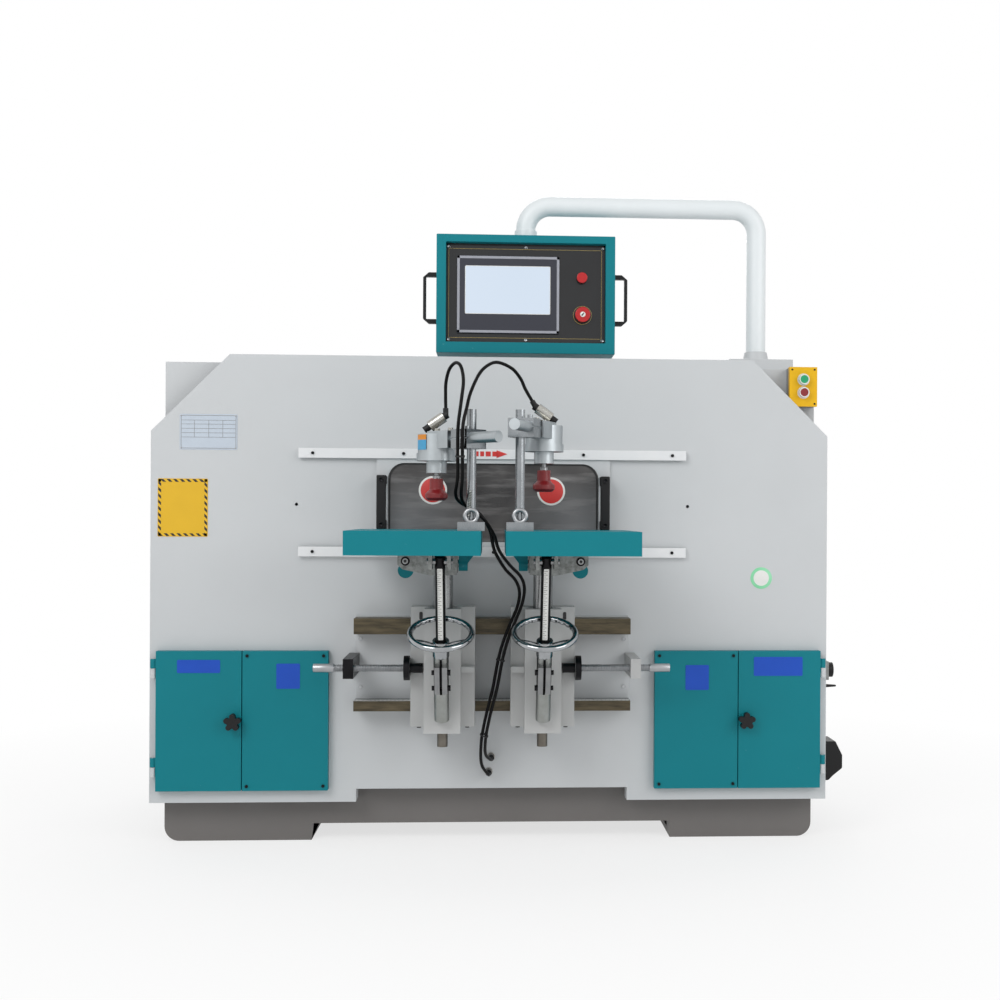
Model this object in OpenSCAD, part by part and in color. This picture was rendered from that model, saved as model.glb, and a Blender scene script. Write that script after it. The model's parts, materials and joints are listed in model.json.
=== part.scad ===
// Two-station tenoning machine: cabinet, cutter unit, two adjustable work tables, clamps and pendant.
// Millimetres. Front is -Y, right is +X, up is +Z; the origin is on the floor, amid the four anchor holes.

/* [Cabinet] */
// Width of the front plate
cab_w = 1730; // [1700:2:1760]
// Height of the plate's top edge above the floor
plate_top = 1247; // [1235:1:1260]
// Size of the clipped upper corners
clip = 196; // [185:1:205]
// Height of the recessed floor gap between the feet
gap_h = 43; // [35:1:50]
// Width of each foot
foot_w = 375; // [350:5:400]
// Anchor hole diameter
anchor_d = 20; // [16:1:24]
// Height of the doors and fixed panels
door_h = 353; // [330:1:365]
// Sheet thickness of the housing
sheet = 4; // [3:0.5:5]

/* [Guard] */
// Length of the two guard rails
rail_len = 988; // [972:2:1000]
// Width of the sliding guard
guard_w = 596; // [580:2:604]
// Width of the work window in the plate
window_w = 524; // [500:2:530]

/* [Stations] */
// Distance of each station from the middle
station_x = 123; // [121:1:126]
// Width of a work table
table_w = 304; // [280:2:310]
// Depth of a work table
table_d = 395; // [380:1:410]
// Diameter of the lift column
column_d = 48; // [40:1:52]
// Diameter of the traverse screw
screw_d = 18; // [14:0.5:20]
// Handwheel rim diameter
wheel_d = 160; // [140:2:166]
// Diameter of the tilt strut rod
strut_d = 24; // [20:0.5:25]

/* [Clamps] */
// Clamp post diameter
post_d = 22; // [18:0.5:24]
// Clamp post height above its base block
post_h = 258; // [250:1:270]
// Diameter of the cross bar
bar_d = 26; // [22:0.5:27]
// Diameter of the air cylinder
cyl_d = 91; // [84:1:94]
// Hose diameter
hose_d = 8; // [6:0.5:8.5]

/* [Pendant] */
// Width of the pendant case
pend_w = 470; // [460:2:490]
// Height of the pendant case
pend_h = 311; // [300:1:320]
// Depth of the pendant case
pend_d = 140; // [110:2:150]
// Diameter of the pendant arm tube
arm_d = 52; // [46:1:54]

/* [Hidden] */
$fn = 64;
e = 1;                        // overshoot of a cut
slack = 0.3;                  // running gap between pieces
PF = -490;                    // front face of the plate
PB = PF + 60;                 // back plane of the plate's pan
back_y = 430;                 // back of the housing
plate_bot = 110;
notch_x = 346;
notch_z = 143;
skin = 5;
base_w = cab_w - 50;
base_top = 160;
wall = 12;
foot_t = 16;
anchor_x = base_w/2 - 190;
anchor_y = 330;
hx = cab_w/2 - 22;            // half width of the housing
house_top = plate_top - 15;
win_z0 = 765;
win_z1 = 965;
win_r = 42;
door_z0 = 143;
door_t = 22;
door_in = 632;
door_out = cab_w/2 - 20;
hinge_x = cab_w/2 - 12;
hinge_y = PF - 14;
hinge_zs = [door_z0 + 60, door_z0 + door_h - 44];
hinge_r = 7;
knuckle = 24;
knob_x = 650;
knob_z = 319;
fix_in = 415;
rail_t = 14;
rail_zs = [735, 985];
rail_h = 25;
gp_x = 348;
gp_z0 = 348;
gp_z1 = 586;
gp_t = 10;
bar_y0 = PF - 65;             // front face of the guide bars
up_bar = [542, 582];
lo_bar = [349, 375];
scr_y = -640;
scr_z = 467;
nut_x0 = 338;
nut_x1 = 363;
slide_y = -655;               // front face of the lift slide
col_y = -617;
col_z0 = 612;
col_z1 = 700;
tilt_z = 722;
strut_lean = 25;
strut_y = -665;
strut_z = 345;
sleeve_l = 178;
wheel_s = 239;
pin_s = 430;
tab_top = 806;
tab_h = 55;
tab_y1 = -575;
tab_y0 = tab_y1 - table_d;
tab_in = -95;                 // inner edge of a table, from its station
bed_z = 560;
bed_x = hx - 243;             // half length of the cross bed
sad_x = -137;                 // resting place of the cutter saddle
spin_z = 870;
pipe_r = 62;
pipe_z = 300;
arm_x = cab_w/2 - 160;
arm_y = -330;
arm_r = 65;
pend_x = 82;
pend_z0 = plate_top + 21;
pend_y0 = -400;
pend_z1 = pend_z0 + pend_h;
arm_z = pend_z1 + 91;
frame_w = 25;                 // side lips of the pendant's frame, then its upper and lower ones
lip_top = 20;
lip_bot = 29;
recess = 24;                  // depth of the fascia behind the frame
btn_x = cab_w/2 - 60.5;
box_y0 = PB - 44;

grey = "#d3d2cf";
dark = "#8e8d8a";
teal = "#0f8f94";
steel = "#b9bcc0";
oily = "#6f6450";
black = "#1c1c1e";
white = "#ececec";
red = "#b3151b";
yellow = "#e8b711";
green = "#1f8f3d";

// A box between two corners
module span(x0, x1, y0, y1, z0, z1) translate([x0, y0, z0]) cube([x1 - x0, y1 - y0, z1 - z0]);
// Round bars along each axis
module along_x(r, x0, x1, y, z) translate([x0, y, z]) rotate([0, 90, 0]) cylinder(r = r, h = x1 - x0);
module along_y(r, y0, y1, x, z) translate([x, y1, z]) rotate([90, 0, 0]) cylinder(r = r, h = y1 - y0);
module along_z(r, z0, z1, x, y) translate([x, y, z0]) cylinder(r = r, h = z1 - z0);
// A flat outline in X and Z given depth, and one in Y and Z given width
module deep(y0, y1) translate([0, y1, 0]) rotate([90, 0, 0]) linear_extrude(y1 - y0) children();
module wide(x0, x1) translate([x0, 0, 0]) rotate([90, 0, 90]) linear_extrude(x1 - x0) children();
module both() { children(); mirror([1, 0, 0]) children(); }
module station(side) mirror([side < 0 ? 1 : 0, 0, 0]) translate([station_x, 0, 0]) children();
module on_strut() translate([0, strut_y, strut_z]) rotate([strut_lean, 0, 0]) children();

// The cabinet

module base_profile() difference() {
  translate([-base_w/2, 0]) square([base_w, base_top]);
  translate([foot_w - base_w/2, -e]) square([base_w - 2*foot_w, gap_h + e]);
  both() {
    corner = 38;
    translate([base_w/2 - corner, corner]) difference() {
      translate([0, -corner - e]) square([corner + e, corner + e]);
      circle(corner);
    }
  }
}

module base_frame() color(dark) difference() {
  foot_x = base_w/2 - foot_w;
  inset = 30;
  deep(PB, back_y) base_profile();
  span(wall - base_w/2, base_w/2 - wall, PB + wall, back_y - wall, gap_h + wall, base_top - wall);
  both() {
    span(foot_x + wall, base_w/2 - inset, PB + wall, back_y - wall, foot_t, gap_h + wall + e);
    span(foot_x - e, foot_x + wall + e, PB + 2*inset, back_y - 2*inset, foot_t, gap_h - e);
    for (y = [-anchor_y, anchor_y]) along_z(anchor_d/2, -e, foot_t + e, anchor_x, y);
  }
}

// Plate outline with clipped corners and the raised middle of its lower edge
module plate_outline(d) {
  w = cab_w/2 - d;
  c = clip - 0.586*d;
  polygon([[-w, plate_bot + d], [-notch_x - d, plate_bot + d], [-notch_x - d, notch_z + d],
    [notch_x + d, notch_z + d], [notch_x + d, plate_bot + d], [w, plate_bot + d],
    [w, plate_top - d - c], [w - c, plate_top - d], [c - w, plate_top - d], [-w, plate_top - d - c]]);
}

// Window with two rounded upper corners
module window_outline(w, z0, z1, r) {
  translate([-w/2, z0]) square([w, z1 - z0 - r]);
  translate([r - w/2, z0]) square([w - 2*r, z1 - z0]);
  both() translate([w/2 - r, z1 - r]) circle(r);
}

module front_plate() color(grey) {
  comp_x0 = 662;
  comp_x1 = door_out - 32;
  comp_z0 = door_z0 + 42;
  comp_z1 = door_z0 + door_h - 28;
  comp_d = 130;
  flange = 14;
  hole_x = 500;
  hole_z = 867;
  hole_r = 4;
  difference() {
    union() {
      deep(PF, PF + skin) plate_outline(0);
      deep(PF, PB) difference() { plate_outline(0); plate_outline(sheet); }
      both() span(comp_x0 - sheet, comp_x1 + sheet, PF, PF + comp_d, comp_z0 - sheet, comp_z1 + sheet);
    }
    deep(PF - e, PF + skin + e) window_outline(window_w, win_z0, win_z1, win_r);
    both() {
      span(comp_x0, comp_x1, PF - e, PF + comp_d - sheet, comp_z0, comp_z1);
      span(cab_w/2 - clip - sheet, cab_w/2 + e, PF + flange, PB + e, plate_top - clip - sheet, plate_top + e);
      along_y(hole_r, PF - e, PF + skin + e, hole_x, hole_z);
    }
  }
}

module rear_housing() color(grey) difference() {
  lip = 18;
  open_z1 = 1010;
  span(-hx, hx, PB, back_y, base_top, house_top);
  span(sheet - hx, hx - sheet, PB + sheet, back_y - sheet, base_top - e, house_top - sheet);
  span(lip - hx, hx - lip, PB - e, PB + sheet + e, base_top + wall, open_z1);
  along_y(pipe_r - 4 + slack, back_y - sheet - e, back_y + e, 0, pipe_z);
}

module guide_plate() color(grey) span(-gp_x, gp_x, PF - gp_t, PF, gp_z0, gp_z1);

module guide_bars() color(oily) for (b = [up_bar, lo_bar]) span(-gp_x, gp_x, bar_y0, PF - gp_t, b[0], b[1]);

// Each rail holds one edge of the guard behind its lip
module guard_rails() color(white) {
  lip = 6;
  edge = 7;
  for (i = [0, 1]) {
    z0 = rail_zs[i];
    difference() {
      span(-rail_len/2, rail_len/2, PF - rail_t, PF, z0, z0 + rail_h);
      span(-rail_len/2 - e, rail_len/2 + e, PF - rail_t + lip, PF + e,
        z0 + (i == 0 ? edge : -e), z0 + rail_h + (i == 0 ? e : -edge));
    }
  }
}

// A shallow folded pan, open at the back
module pan(x0, x1, z0, z1) difference() {
  t = 2.5;
  span(x0, x1, PF - door_t, PF, z0, z1);
  span(x0 + t, x1 - t, PF - door_t + t, PF + e, z0 + t, z1 - t);
}

module fixed_panels() color(teal) both() pan(fix_in, door_in - 2, door_z0, door_z0 + door_h);

module screw_head(x, y, z, r) along_y(r, y - 3, y, x, z);

module cabinet_fasteners() color(steel) {
  in = 12;
  r = 4;
  pin_r = 4;
  both() {
    for (x = [fix_in + in, door_in - 2 - in], z = [door_z0 + in, door_z0 + door_h - in])
      screw_head(x, PF - door_t, z, r);
    for (z = [gp_z0 + 56, gp_z1 - 60]) screw_head(gp_x - in, PF - gp_t, z, r + 1);
    for (x = [229, 458]) screw_head(x, PF - rail_t, rail_zs[1] + rail_h/2, r);
    screw_head(458, PF - rail_t, rail_zs[0] + rail_h/2, r);
    for (z = hinge_zs) {
      along_z(hinge_r, z - knuckle, z, hinge_x, hinge_y);
      along_z(pin_r, z, z + knuckle, hinge_x, hinge_y);
      span(hinge_x - 4, hinge_x + 4, hinge_y, PF, z - knuckle, z);
    }
  }
  screw_head(0, PF - rail_t, rail_zs[0] + rail_h/2, r);
}

// Door with its upper hinge knuckles; the stem hole takes the knob
module door_panel() color(teal) difference() {
  union() {
    pan(door_in, door_out, door_z0, door_z0 + door_h);
    for (z = hinge_zs) {
      along_z(hinge_r, z + slack, z + knuckle, hinge_x, hinge_y);
      span(door_out - 1, hinge_x, hinge_y - 4, hinge_y + 4, z + slack, z + knuckle);
    }
  }
  for (z = hinge_zs) along_z(4.3, z - e, z + knuckle + e, hinge_x, hinge_y);
  along_y(5.3, PF - door_t - e, PF - door_t/2, knob_x, knob_z);
}

// Star knob with a stem and a latch tongue behind the door skin
module star_knob() color(black) {
  lobe = 7;
  front = PF - door_t;
  along_y(5, front - 14, front + 10, knob_x, knob_z);
  along_y(14, front - 30, front - 12, knob_x, knob_z);
  along_y(9, front - 12, front - slack, knob_x, knob_z);
  for (a = [0:72:288]) along_y(lobe, front - 30, front - 12, knob_x + 15*sin(a), knob_z + 15*cos(a));
  span(knob_x - 12, knob_x + 6, front + 6, front + 10, knob_z - 6, knob_z + 6);
}

// Hood round the cutter, the chute below it, and the extraction pipe to the back
module dust_hood() color(dark) {
  t = 3;
  w = 285;
  z0 = 748;
  z1 = 985;
  y0 = PF + skin;
  y1 = y0 + 95;
  cw = 70;
  cy0 = y0 + 4;
  cy1 = y0 + 74;
  cz = 230;
  slot_w = 225;
  end = back_y + 70;
  difference() {
    span(-w, w, y0, y1, z0, z1);
    span(t - w, w - t, y0 - e, y1 - t, z0 + t, z1 - t);
    span(-slot_w, slot_w, y1 - t - e, y1 + e, spin_z - 85, spin_z + 85);
    span(t - cw, cw - t, cy0 + t, cy1 - t, z0 - e, z0 + t + e);
  }
  difference() {
    span(-cw, cw, cy0, cy1, cz, z0 - slack);
    span(t - cw, cw - t, cy0 + t, cy1 - t, cz + t, z0);
    along_y(pipe_r - 4 - t, cy1 - t - e, cy1 + e, 0, pipe_z);
  }
  difference() {
    union() {
      along_y(pipe_r - 4, cy1 + slack, end, 0, pipe_z);
      along_y(pipe_r, back_y + slack, end, 0, pipe_z);
    }
    along_y(pipe_r - 4 - t, cy1, end + e, 0, pipe_z);
  }
}

// The cutter unit inside the housing

module cross_bed() {
  rail_w = 20;
  color(grey) {
    span(-bed_x, bed_x, -250, 150, bed_z - 80, bed_z);
    both() span(bed_x - 120, bed_x - 20, -250, 150, base_top, bed_z - 80);
  }
  color(steel) for (y = [-200, 100]) span(-bed_x, bed_x, y - rail_w/2, y + rail_w/2, bed_z, bed_z + 18);
}

module x_servo_motor() color(black) {
  z = bed_z + 20;
  span(bed_x, bed_x + 12, -110, 10, bed_z - 70, bed_z + 60);
  span(bed_x + 12, bed_x + 160, -90, -10, z - 40, z + 40);
  along_x(8, 40 - bed_x, bed_x + 6, -50, z);
}

module x_saddle() color(grey) translate([sad_x, 0, 0]) {
  w = 130;
  top = 1010;
  plate_z = bed_z + 36;
  difference() {
    union() {
      span(-w, w, -230, 140, plate_z, plate_z + 24);
      span(-30, 30, -75, -25, bed_z + 6, plate_z + e);
      for (y = [-200, 100], x = [-90, 90]) span(x - 35, x + 35, y - 24, y + 24, bed_z + 6, plate_z + e);
    }
    along_x(8.5, -w, w, -50, bed_z + 20);
    for (y = [-200, 100]) span(-w - e, w + e, y - 10 - slack, y + 10 + slack, bed_z, bed_z + 18 + slack);
  }
  both() span(w - 30, w, -230, -170, plate_z + 24, top);
  span(-w, w, -230, -170, top, top + 20);
  span(-40, 40, -230, -170, top + 20, top + 150);
}

module spindle_unit() color(steel) translate([sad_x, 0, 0]) {
  span(-130, 130, -262, -230 - slack, spin_z - 100, spin_z + 100);
  along_y(75, -231, 60, 0, spin_z);
  along_y(30, -400, -261, 0, spin_z);
  along_y(12, -478, -399, 0, spin_z);
}

module cutter_head() color(steel) translate([sad_x, 0, 0]) difference() {
  r = 44;
  union() {
    along_y(r, -450, -406, 0, spin_z);
    along_y(20, -468, -449, 0, spin_z);
    for (a = [0:90:270]) translate([0, 0, spin_z]) rotate([0, a, 0]) span(r - 3, r + 5, -448, -408, -4, 4);
  }
  along_y(12 + slack, -480, -400, 0, spin_z);
}

// The sliding guard

module guard_panel() {
  z0 = rail_zs[0] + 7 + slack;
  z1 = rail_zs[1] + rail_h - 7 - slack;
  color(grey) deep(PF - 7.5, PF - 3) difference() {
    translate([-guard_w/2, z0]) square([guard_w, z1 - z0]);
    window_outline(guard_w - 58, win_z0 + 8, win_z1 + 9, win_r);
  }
  color(dark) span(14 - guard_w/2, guard_w/2 - 14, PF - 3, PF - slack, z0 + 8, z1 - 8);
}

module guard_handles() color(black) both() {
  x1 = guard_w/2 - 3;
  x0 = x1 - 24;
  z0 = 805;
  z1 = 942;
  front = PF - 7.5;
  off = 40;
  t = 10;
  span(x0, x1, front - off, front - off + t, z0, z1);
  for (z = [z0, z1 - 24]) span(x0, x1, front - off + t - e, front, z, z + 24);
}

// The pendant and controls

module arm_pedestal() color(grey) difference() {
  h = 30;
  collar = 24;
  union() {
    span(arm_x - 80, arm_x + 90, arm_y - 60, arm_y + 60, house_top, house_top + h);
    translate([arm_x, arm_y, house_top + h - e]) cylinder(r1 = arm_d/2 + 9, r2 = arm_d/2 + 4, h = collar + e);
  }
  along_z(arm_d/2 + slack, house_top + 6, house_top + h + collar + e, arm_x, arm_y);
}

// Swept path of the arm: up from the pedestal, across, and down into the pendant
module arm_path(r) translate([0, arm_y, 0]) {
  z0 = house_top + 6 + slack;
  along_z(r, z0, arm_z - arm_r, arm_x, 0);
  along_z(r, pend_z1 + 4, arm_z - arm_r, pend_x, 0);
  along_x(r, pend_x + arm_r, arm_x - arm_r, 0, arm_z);
  translate([arm_x - arm_r, 0, arm_z - arm_r]) rotate([90, 0, 0]) rotate_extrude(angle = 90)
    translate([arm_r, 0]) circle(r);
  translate([pend_x + arm_r, 0, arm_z - arm_r]) rotate([90, 0, 0]) rotate([0, 0, 90])
    rotate_extrude(angle = 90) translate([arm_r, 0]) circle(r);
}

module pendant_arm() color(grey) arm_path(arm_d/2);

module pendant_case() color(teal) difference() {
  t = 4;
  x0 = pend_x - pend_w/2;
  x1 = pend_x + pend_w/2;
  y1 = pend_y0 + pend_d;
  rebate = recess + fascia_t;
  seat = 10;
  union() {
    span(x0, x1, pend_y0, y1, pend_z0, pend_z1);
    along_z(arm_d/2 + 4, pend_z1 - e, pend_z1 + 24, pend_x, arm_y);
  }
  span(x0 + frame_w, x1 - frame_w, pend_y0 - e, pend_y0 + rebate, pend_z0 + lip_bot, pend_z1 - lip_top);
  span(x0 + frame_w + seat, x1 - frame_w - seat, pend_y0, pend_y0 + rebate + t + e,
    pend_z0 + lip_bot + seat, pend_z1 - lip_top - seat);
  span(x0 + t, x1 - t, pend_y0 + rebate + t, y1 - t, pend_z0 + t, pend_z1 - t);
  along_z(arm_d/2 + slack, pend_z1 + 3, pend_z1 + 25, pend_x, arm_y);
}

// Grab handles of bent bar with clipped outer corners
module pendant_handles() color(black) translate([pend_x, 0, pend_z0 + 150]) both()
  translate([pend_w/2, 0, 0]) deep(-352, -334) difference() {
    polygon([[0, -68], [22, -68], [37, -55], [37, 55], [22, 68], [0, 68]]);
    translate([-e, -56]) square([30, 112]);
  }

hmi_w = pend_w - 199;         // bezel of the operator panel
hmi_h = pend_h - 105;
hmi_x = pend_x - pend_w/2 + 52.5 + hmi_w/2;
hmi_z = pend_z0 + 53.5 + hmi_h/2;
red_x = pend_x + pend_w/2 - 87;
red_z = pend_z1 - 108;
stop_x = pend_x + pend_w/2 - 85;
stop_z = pend_z0 + 105;
fascia_t = 4;
fas_y = pend_y0 + recess;     // front face of the fascia

module pendant_fascia() difference() {
  half = pend_w/2 - frame_w - slack;
  union() {
    color(black) span(pend_x - half, pend_x + half, fas_y, fas_y + fascia_t,
      pend_z0 + lip_bot + slack, pend_z1 - lip_top - slack);
    color(yellow) along_y(25, fas_y - 3, fas_y + e, stop_x, stop_z);
    color(black) along_y(16, fas_y - 3, fas_y + e, red_x, red_z);
  }
  along_y(11 + slack, fas_y - 4, fas_y + 5, stop_x, stop_z);
  along_y(11 + slack, fas_y - 4, fas_y + 5, red_x, red_z);
  w = hmi_w/2 - 5.5;
  h = hmi_h/2 - 5.5;
  span(hmi_x - w, hmi_x + w, fas_y - e, fas_y + fascia_t + e, hmi_z - h, hmi_z + h);
}

module touch_screen() color(black) {
  w = hmi_w/2 - 6.5;
  h = hmi_h/2 - 6.5;
  span(hmi_x - hmi_w/2, hmi_x + hmi_w/2, fas_y - 6, fas_y, hmi_z - hmi_h/2, hmi_z + hmi_h/2);
  span(hmi_x - w, hmi_x + w, fas_y - e, fas_y + 40, hmi_z - h, hmi_z + h);
}

// Button with a cap, and a stem through its panel
module push(r, h, gap, y, x, z, c) color(c) {
  along_y(r, y - gap - h, y - gap, x, z);
  along_y(11, y - gap - e, y + 12, x, z);
}

module pendant_push_button() push(14, 9, 8, fas_y, red_x, red_z, red);
module pendant_stop_button() push(20, 14, 9, fas_y, stop_x, stop_z, red);
box_z0 = plate_top - 117;
module start_button() push(13, 6, 7, box_y0, btn_x, box_z0 + 70, green);
module stop_button() push(13, 6, 7, box_y0, btn_x, box_z0 + 36, red);

module button_box() difference() {
  x0 = cab_w/2 - 97;
  x1 = cab_w/2 - 24;
  z1 = plate_top - 14;
  union() {
    color(yellow) span(x0, x1, box_y0, box_y0 + 16, box_z0, z1);
    color(dark) span(x0 + 1, x1 - 1, box_y0 + 16, PB, box_z0 + 1, z1 - 1);
    color(white) for (z = [36, 70]) along_y(16, box_y0 - 2, box_y0 + e, btn_x, box_z0 + z);
  }
  for (z = [36, 70]) along_y(11 + slack, box_y0 - 3, box_y0 + 30, btn_x, box_z0 + z);
}

module air_unit() color(steel) difference() {
  x = hx + 38;
  y = -300;
  union() {
    span(hx, hx + 10, y - 30, y + 30, 385, 470);
    span(hx + 9, hx + 68, y - 30, y + 30, 400, 450);
    along_z(24, 325, 401, x, y);
    along_z(14, 449, 458, x, y);
    along_x(20, hx + 67, hx + 84, y, 425);
  }
  along_y(6, y + 10, y + 31, x, 425);
  along_z(6 + slack, 440, 459, x, y);
}

module regulator_knob() color(black) {
  along_z(20, 458 + slack, 492, hx + 38, -300);
  along_z(6, 445, 459, hx + 38, -300);
}

// Wall inlet with a sloping face
module power_inlet() color(black) translate([hx, 0, 0]) deep(-345, -255)
  polygon([[0, 130], [65, 130], [78, 143], [103, 163], [103, 198], [84, 236], [0, 236]]);

bulk = [[-3, 225], [-9, 187]];
module hose_bulkhead() for (b = bulk) {
  color(steel) along_y(10, PF - 12, PF, b[0], b[1]);
  color(black) along_y(8, PF - 30, PF - 11, b[0], b[1]);
}

// The work stations, drawn for the right side with outward along +X

module screw_nuts() color(black) both() difference() {
  h = 24;
  span(nut_x0, nut_x1, scr_y - h, PF - gp_t, scr_z - h, scr_z + h);
  along_x(screw_d/2 + slack, nut_x0 - e, nut_x1 + e, scr_y, scr_z);
}

half_c = 79;                  // half width of a carriage
half_s = 45;                  // half width of a lift slide
tail = 33;                    // half width of the dovetail's neck
car_y1 = bar_y0 - 0.5;
floor_y = -585;
cheek_y = -620;
barrel = [48, 79];

module carriage() difference() {
  union() {
    color(grey) {
      span(-half_c, half_c, floor_y, car_y1, 320, 616);
      span(-half_c, half_c, car_y1 - e, car_y1 + 34, up_bar[1] + slack, 600);
      span(-half_c, half_c, car_y1 - e, car_y1 + 34, 331, lo_bar[0] - slack);
      both() translate([0, 0, 320]) linear_extrude(296) polygon([[half_c, floor_y + e],
        [half_s + slack, floor_y + e], [half_s + slack, floor_y], [tail + slack, cheek_y],
        [half_c, cheek_y]]);
      span(-half_c, -half_s - slack, cheek_y - 20, cheek_y + e, 455, 470);
      span(barrel[0], barrel[1], cheek_y - 14, cheek_y + e, 457, 477);
      span(-18, 18, col_y - 18, floor_y + e, 465, 490);
    }
    color(black) {
      along_x(12, barrel[0], barrel[1] + e, scr_y, scr_z);
      along_x(30, barrel[1], barrel[1] + 15, scr_y, scr_z);
    }
  }
  along_x(screw_d/2 + slack, barrel[0] + 4, barrel[1] + 16, scr_y, scr_z);
  along_z(13 + slack, 464, 491, 0, col_y);
}

module lead_screw() color(steel) {
  along_x(screw_d/2, barrel[0] + 5, 402 - station_x, scr_y, scr_z);
  along_x(screw_d/2 + 1.5, 402 - station_x, 437 - station_x, scr_y, scr_z);
}

module lift_slide() difference() {
  ear_s = [90, 164];
  union() {
    color(grey) {
      translate([0, 0, 308]) linear_extrude(col_z0 - 308) polygon([[-half_s, floor_y - 0.5],
        [half_s, floor_y - 0.5], [tail, cheek_y - 0.5], [half_s, cheek_y - 0.5], [half_s, slide_y],
        [-half_s, slide_y], [-half_s, cheek_y - 0.5], [-tail, cheek_y - 0.5]]);
      wide(-9, 9) polygon([[slide_y + e, strut_z], [slide_y + e, 500], [strut_y - 66, 486],
        [strut_y, strut_z]]);
    }
    color(steel) on_strut() {
      cylinder(r = 18, h = sleeve_l);
      for (x = [-15, 3]) span(x, x + 12, -32, -8, ear_s[0], ear_s[1]);
    }
    color(black) on_strut() for (s = [104, 147]) {
      along_x(7, -23, -14, -25, s);
      along_x(6, 14, 22, -25, s);
    }
  }
  on_strut() {
    along_z(strut_d/2 + slack, 10, sleeve_l + e, 0, 0);
    span(-3, 3, -34, 0, 80, sleeve_l + e);
  }
  along_z(13 + slack, 300, 548, 0, col_y);
  span(-22, 22, col_y - 22, floor_y, 415, 545);
}

module lift_screw() color(steel) {
  along_z(13, 271, 545, 0, col_y);
}

// Column, cast head with its front plate, and the tilt pin
module column_head() {
  color(steel) {
    along_z(column_d/2, col_z0, col_z1 + e, 0, col_y);
    span(-36, 36, -646, -592, col_z1, 745);
    deep(-656, -645) polygon([[-34, 745], [-34, 696], [30, 694], [98, 709], [110, 720], [110, 745]]);
    along_x(10, -58, 58, col_y, tilt_z);
    for (x = [-3, 91]) {
      along_y(11, -658, -655, x, 729);
      along_y(7, -665, -657, x, 729);
    }
  }
  color(teal) along_y(19, -646, -626, 91, 706);
}

slot_y = strut_y - pin_s*sin(strut_lean);
slot_z = strut_z + pin_s*cos(strut_lean);

module table() color(teal) {
  x0 = tab_in;
  x1 = tab_in + table_w;
  z0 = tab_top - tab_h;
  top = 16;
  skirt = 12;
  r = 8.5;
  difference() {
    span(x0, x1, tab_y0, tab_y1, z0, tab_top);
    span(x0 + skirt, x1 - skirt, tab_y0 + skirt, tab_y1 - skirt, z0 - e, tab_top - top);
  }
  for (x = [-60, 38]) difference() {
    wide(x, x + 22) union() {
      translate([col_y, tilt_z]) circle(18);
      translate([col_y - 17, tilt_z]) square([34, tab_top - top - tilt_z + e]);
    }
    along_x(10 + slack, x - e, x + 23, col_y, tilt_z);
  }
  deep(-630, -604) polygon([[-59, tilt_z], [-59, tab_top - top + e], [-82, tab_top - top + e],
    [-82, z0 + e]]);
  for (x = [-26, 17]) difference() {
    wide(x, x + 9) translate([slot_y - 22, slot_z - 18]) square([68, tab_top - top - slot_z + 19]);
    wide(x - e, x + 10) union() {
      for (d = [-2, 24]) translate([slot_y + d, slot_z]) circle(r);
      translate([slot_y - 2, slot_z - r]) square([26, 2*r]);
    }
  }
}

module strut_rod() on_strut() {
  color(black) difference() {
    along_z(strut_d/2, 95, pin_s + 13, 0, 0);
    span(-8, 8, -strut_d, -strut_d/2 + 2.5, wheel_s - 15, pin_s - 12);
  }
  color(steel) along_x(7, -30, 30, 0, pin_s);
}

module handwheel() color(steel) on_strut() {
  rim = 7.5;
  hub = 20;
  dish = 26;
  R = wheel_d/2 - rim;
  run = R - hub + 4;
  difference() {
    union() {
      along_z(hub, sleeve_l + slack, wheel_s - 18, 0, 0);
      translate([0, 0, wheel_s]) {
        rotate_extrude() translate([R, 0]) circle(rim);
        for (a = [90, 210, 330]) rotate([0, 0, a]) translate([hub - 4, 0, -dish])
          rotate([0, 90 - atan2(dish, run), 0]) cylinder(r = 7, h = norm([run, dish]));
      }
    }
    along_z(strut_d/2 + slack, sleeve_l - e, wheel_s, 0, 0);
  }
}

// The clamps: post place, bar heading, bar height, side, reach, cylinder and foot heights, elbow lean

left_clamp = [-51, -870, -45, 1017, -1, 100, 967, 875, 0];
right_clamp = [60, -870, -110, 1044, 1, 128, 993, 898, -30];
block_t = 20;
bar_off = post_d/2 + bar_d/2 + 1;
function cyl_at(c) = [c[0] - c[5]*cos(c[2]) - c[4]*(bar_off - 9)*sin(c[2]),
                      c[1] - c[5]*sin(c[2]) + c[4]*(bar_off - 9)*cos(c[2])];
module at_bar(c) translate([c[0], c[1], c[3]]) rotate([0, 0, c[2]]) translate([0, c[4]*bar_off, 0])
  children();

module clamp_stand(c) color(steel) {
  half = 31;
  span(c[0] - half, c[0] + half, c[1] - 30, c[1] + 30, tab_top, tab_top + block_t);
  translate([c[0], c[1] - 19, tab_top + block_t + 14]) rotate([90, 0, 0]) rotate_extrude()
    translate([14, 0]) circle(5);
  difference() {
    union() {
      along_z(post_d/2, tab_top + block_t - e, tab_top + block_t + post_h, c[0], c[1]);
      at_bar(c) {
        span(-26, 26, c[4] > 0 ? -21 - bar_off : -16, c[4] < 0 ? 21 + bar_off : 16, -24, 20);
        along_z(6, 18, 27, 16, c[4]*4);
      }
    }
    at_bar(c) {
      along_x(bar_d/2 + 0.1, -27, 27, 0, 0);
      span(-27, 27, c[4] > 0 ? 0 : -22, c[4] > 0 ? 22 : 0, -1.5, 1.5);
    }
  }
}

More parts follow.
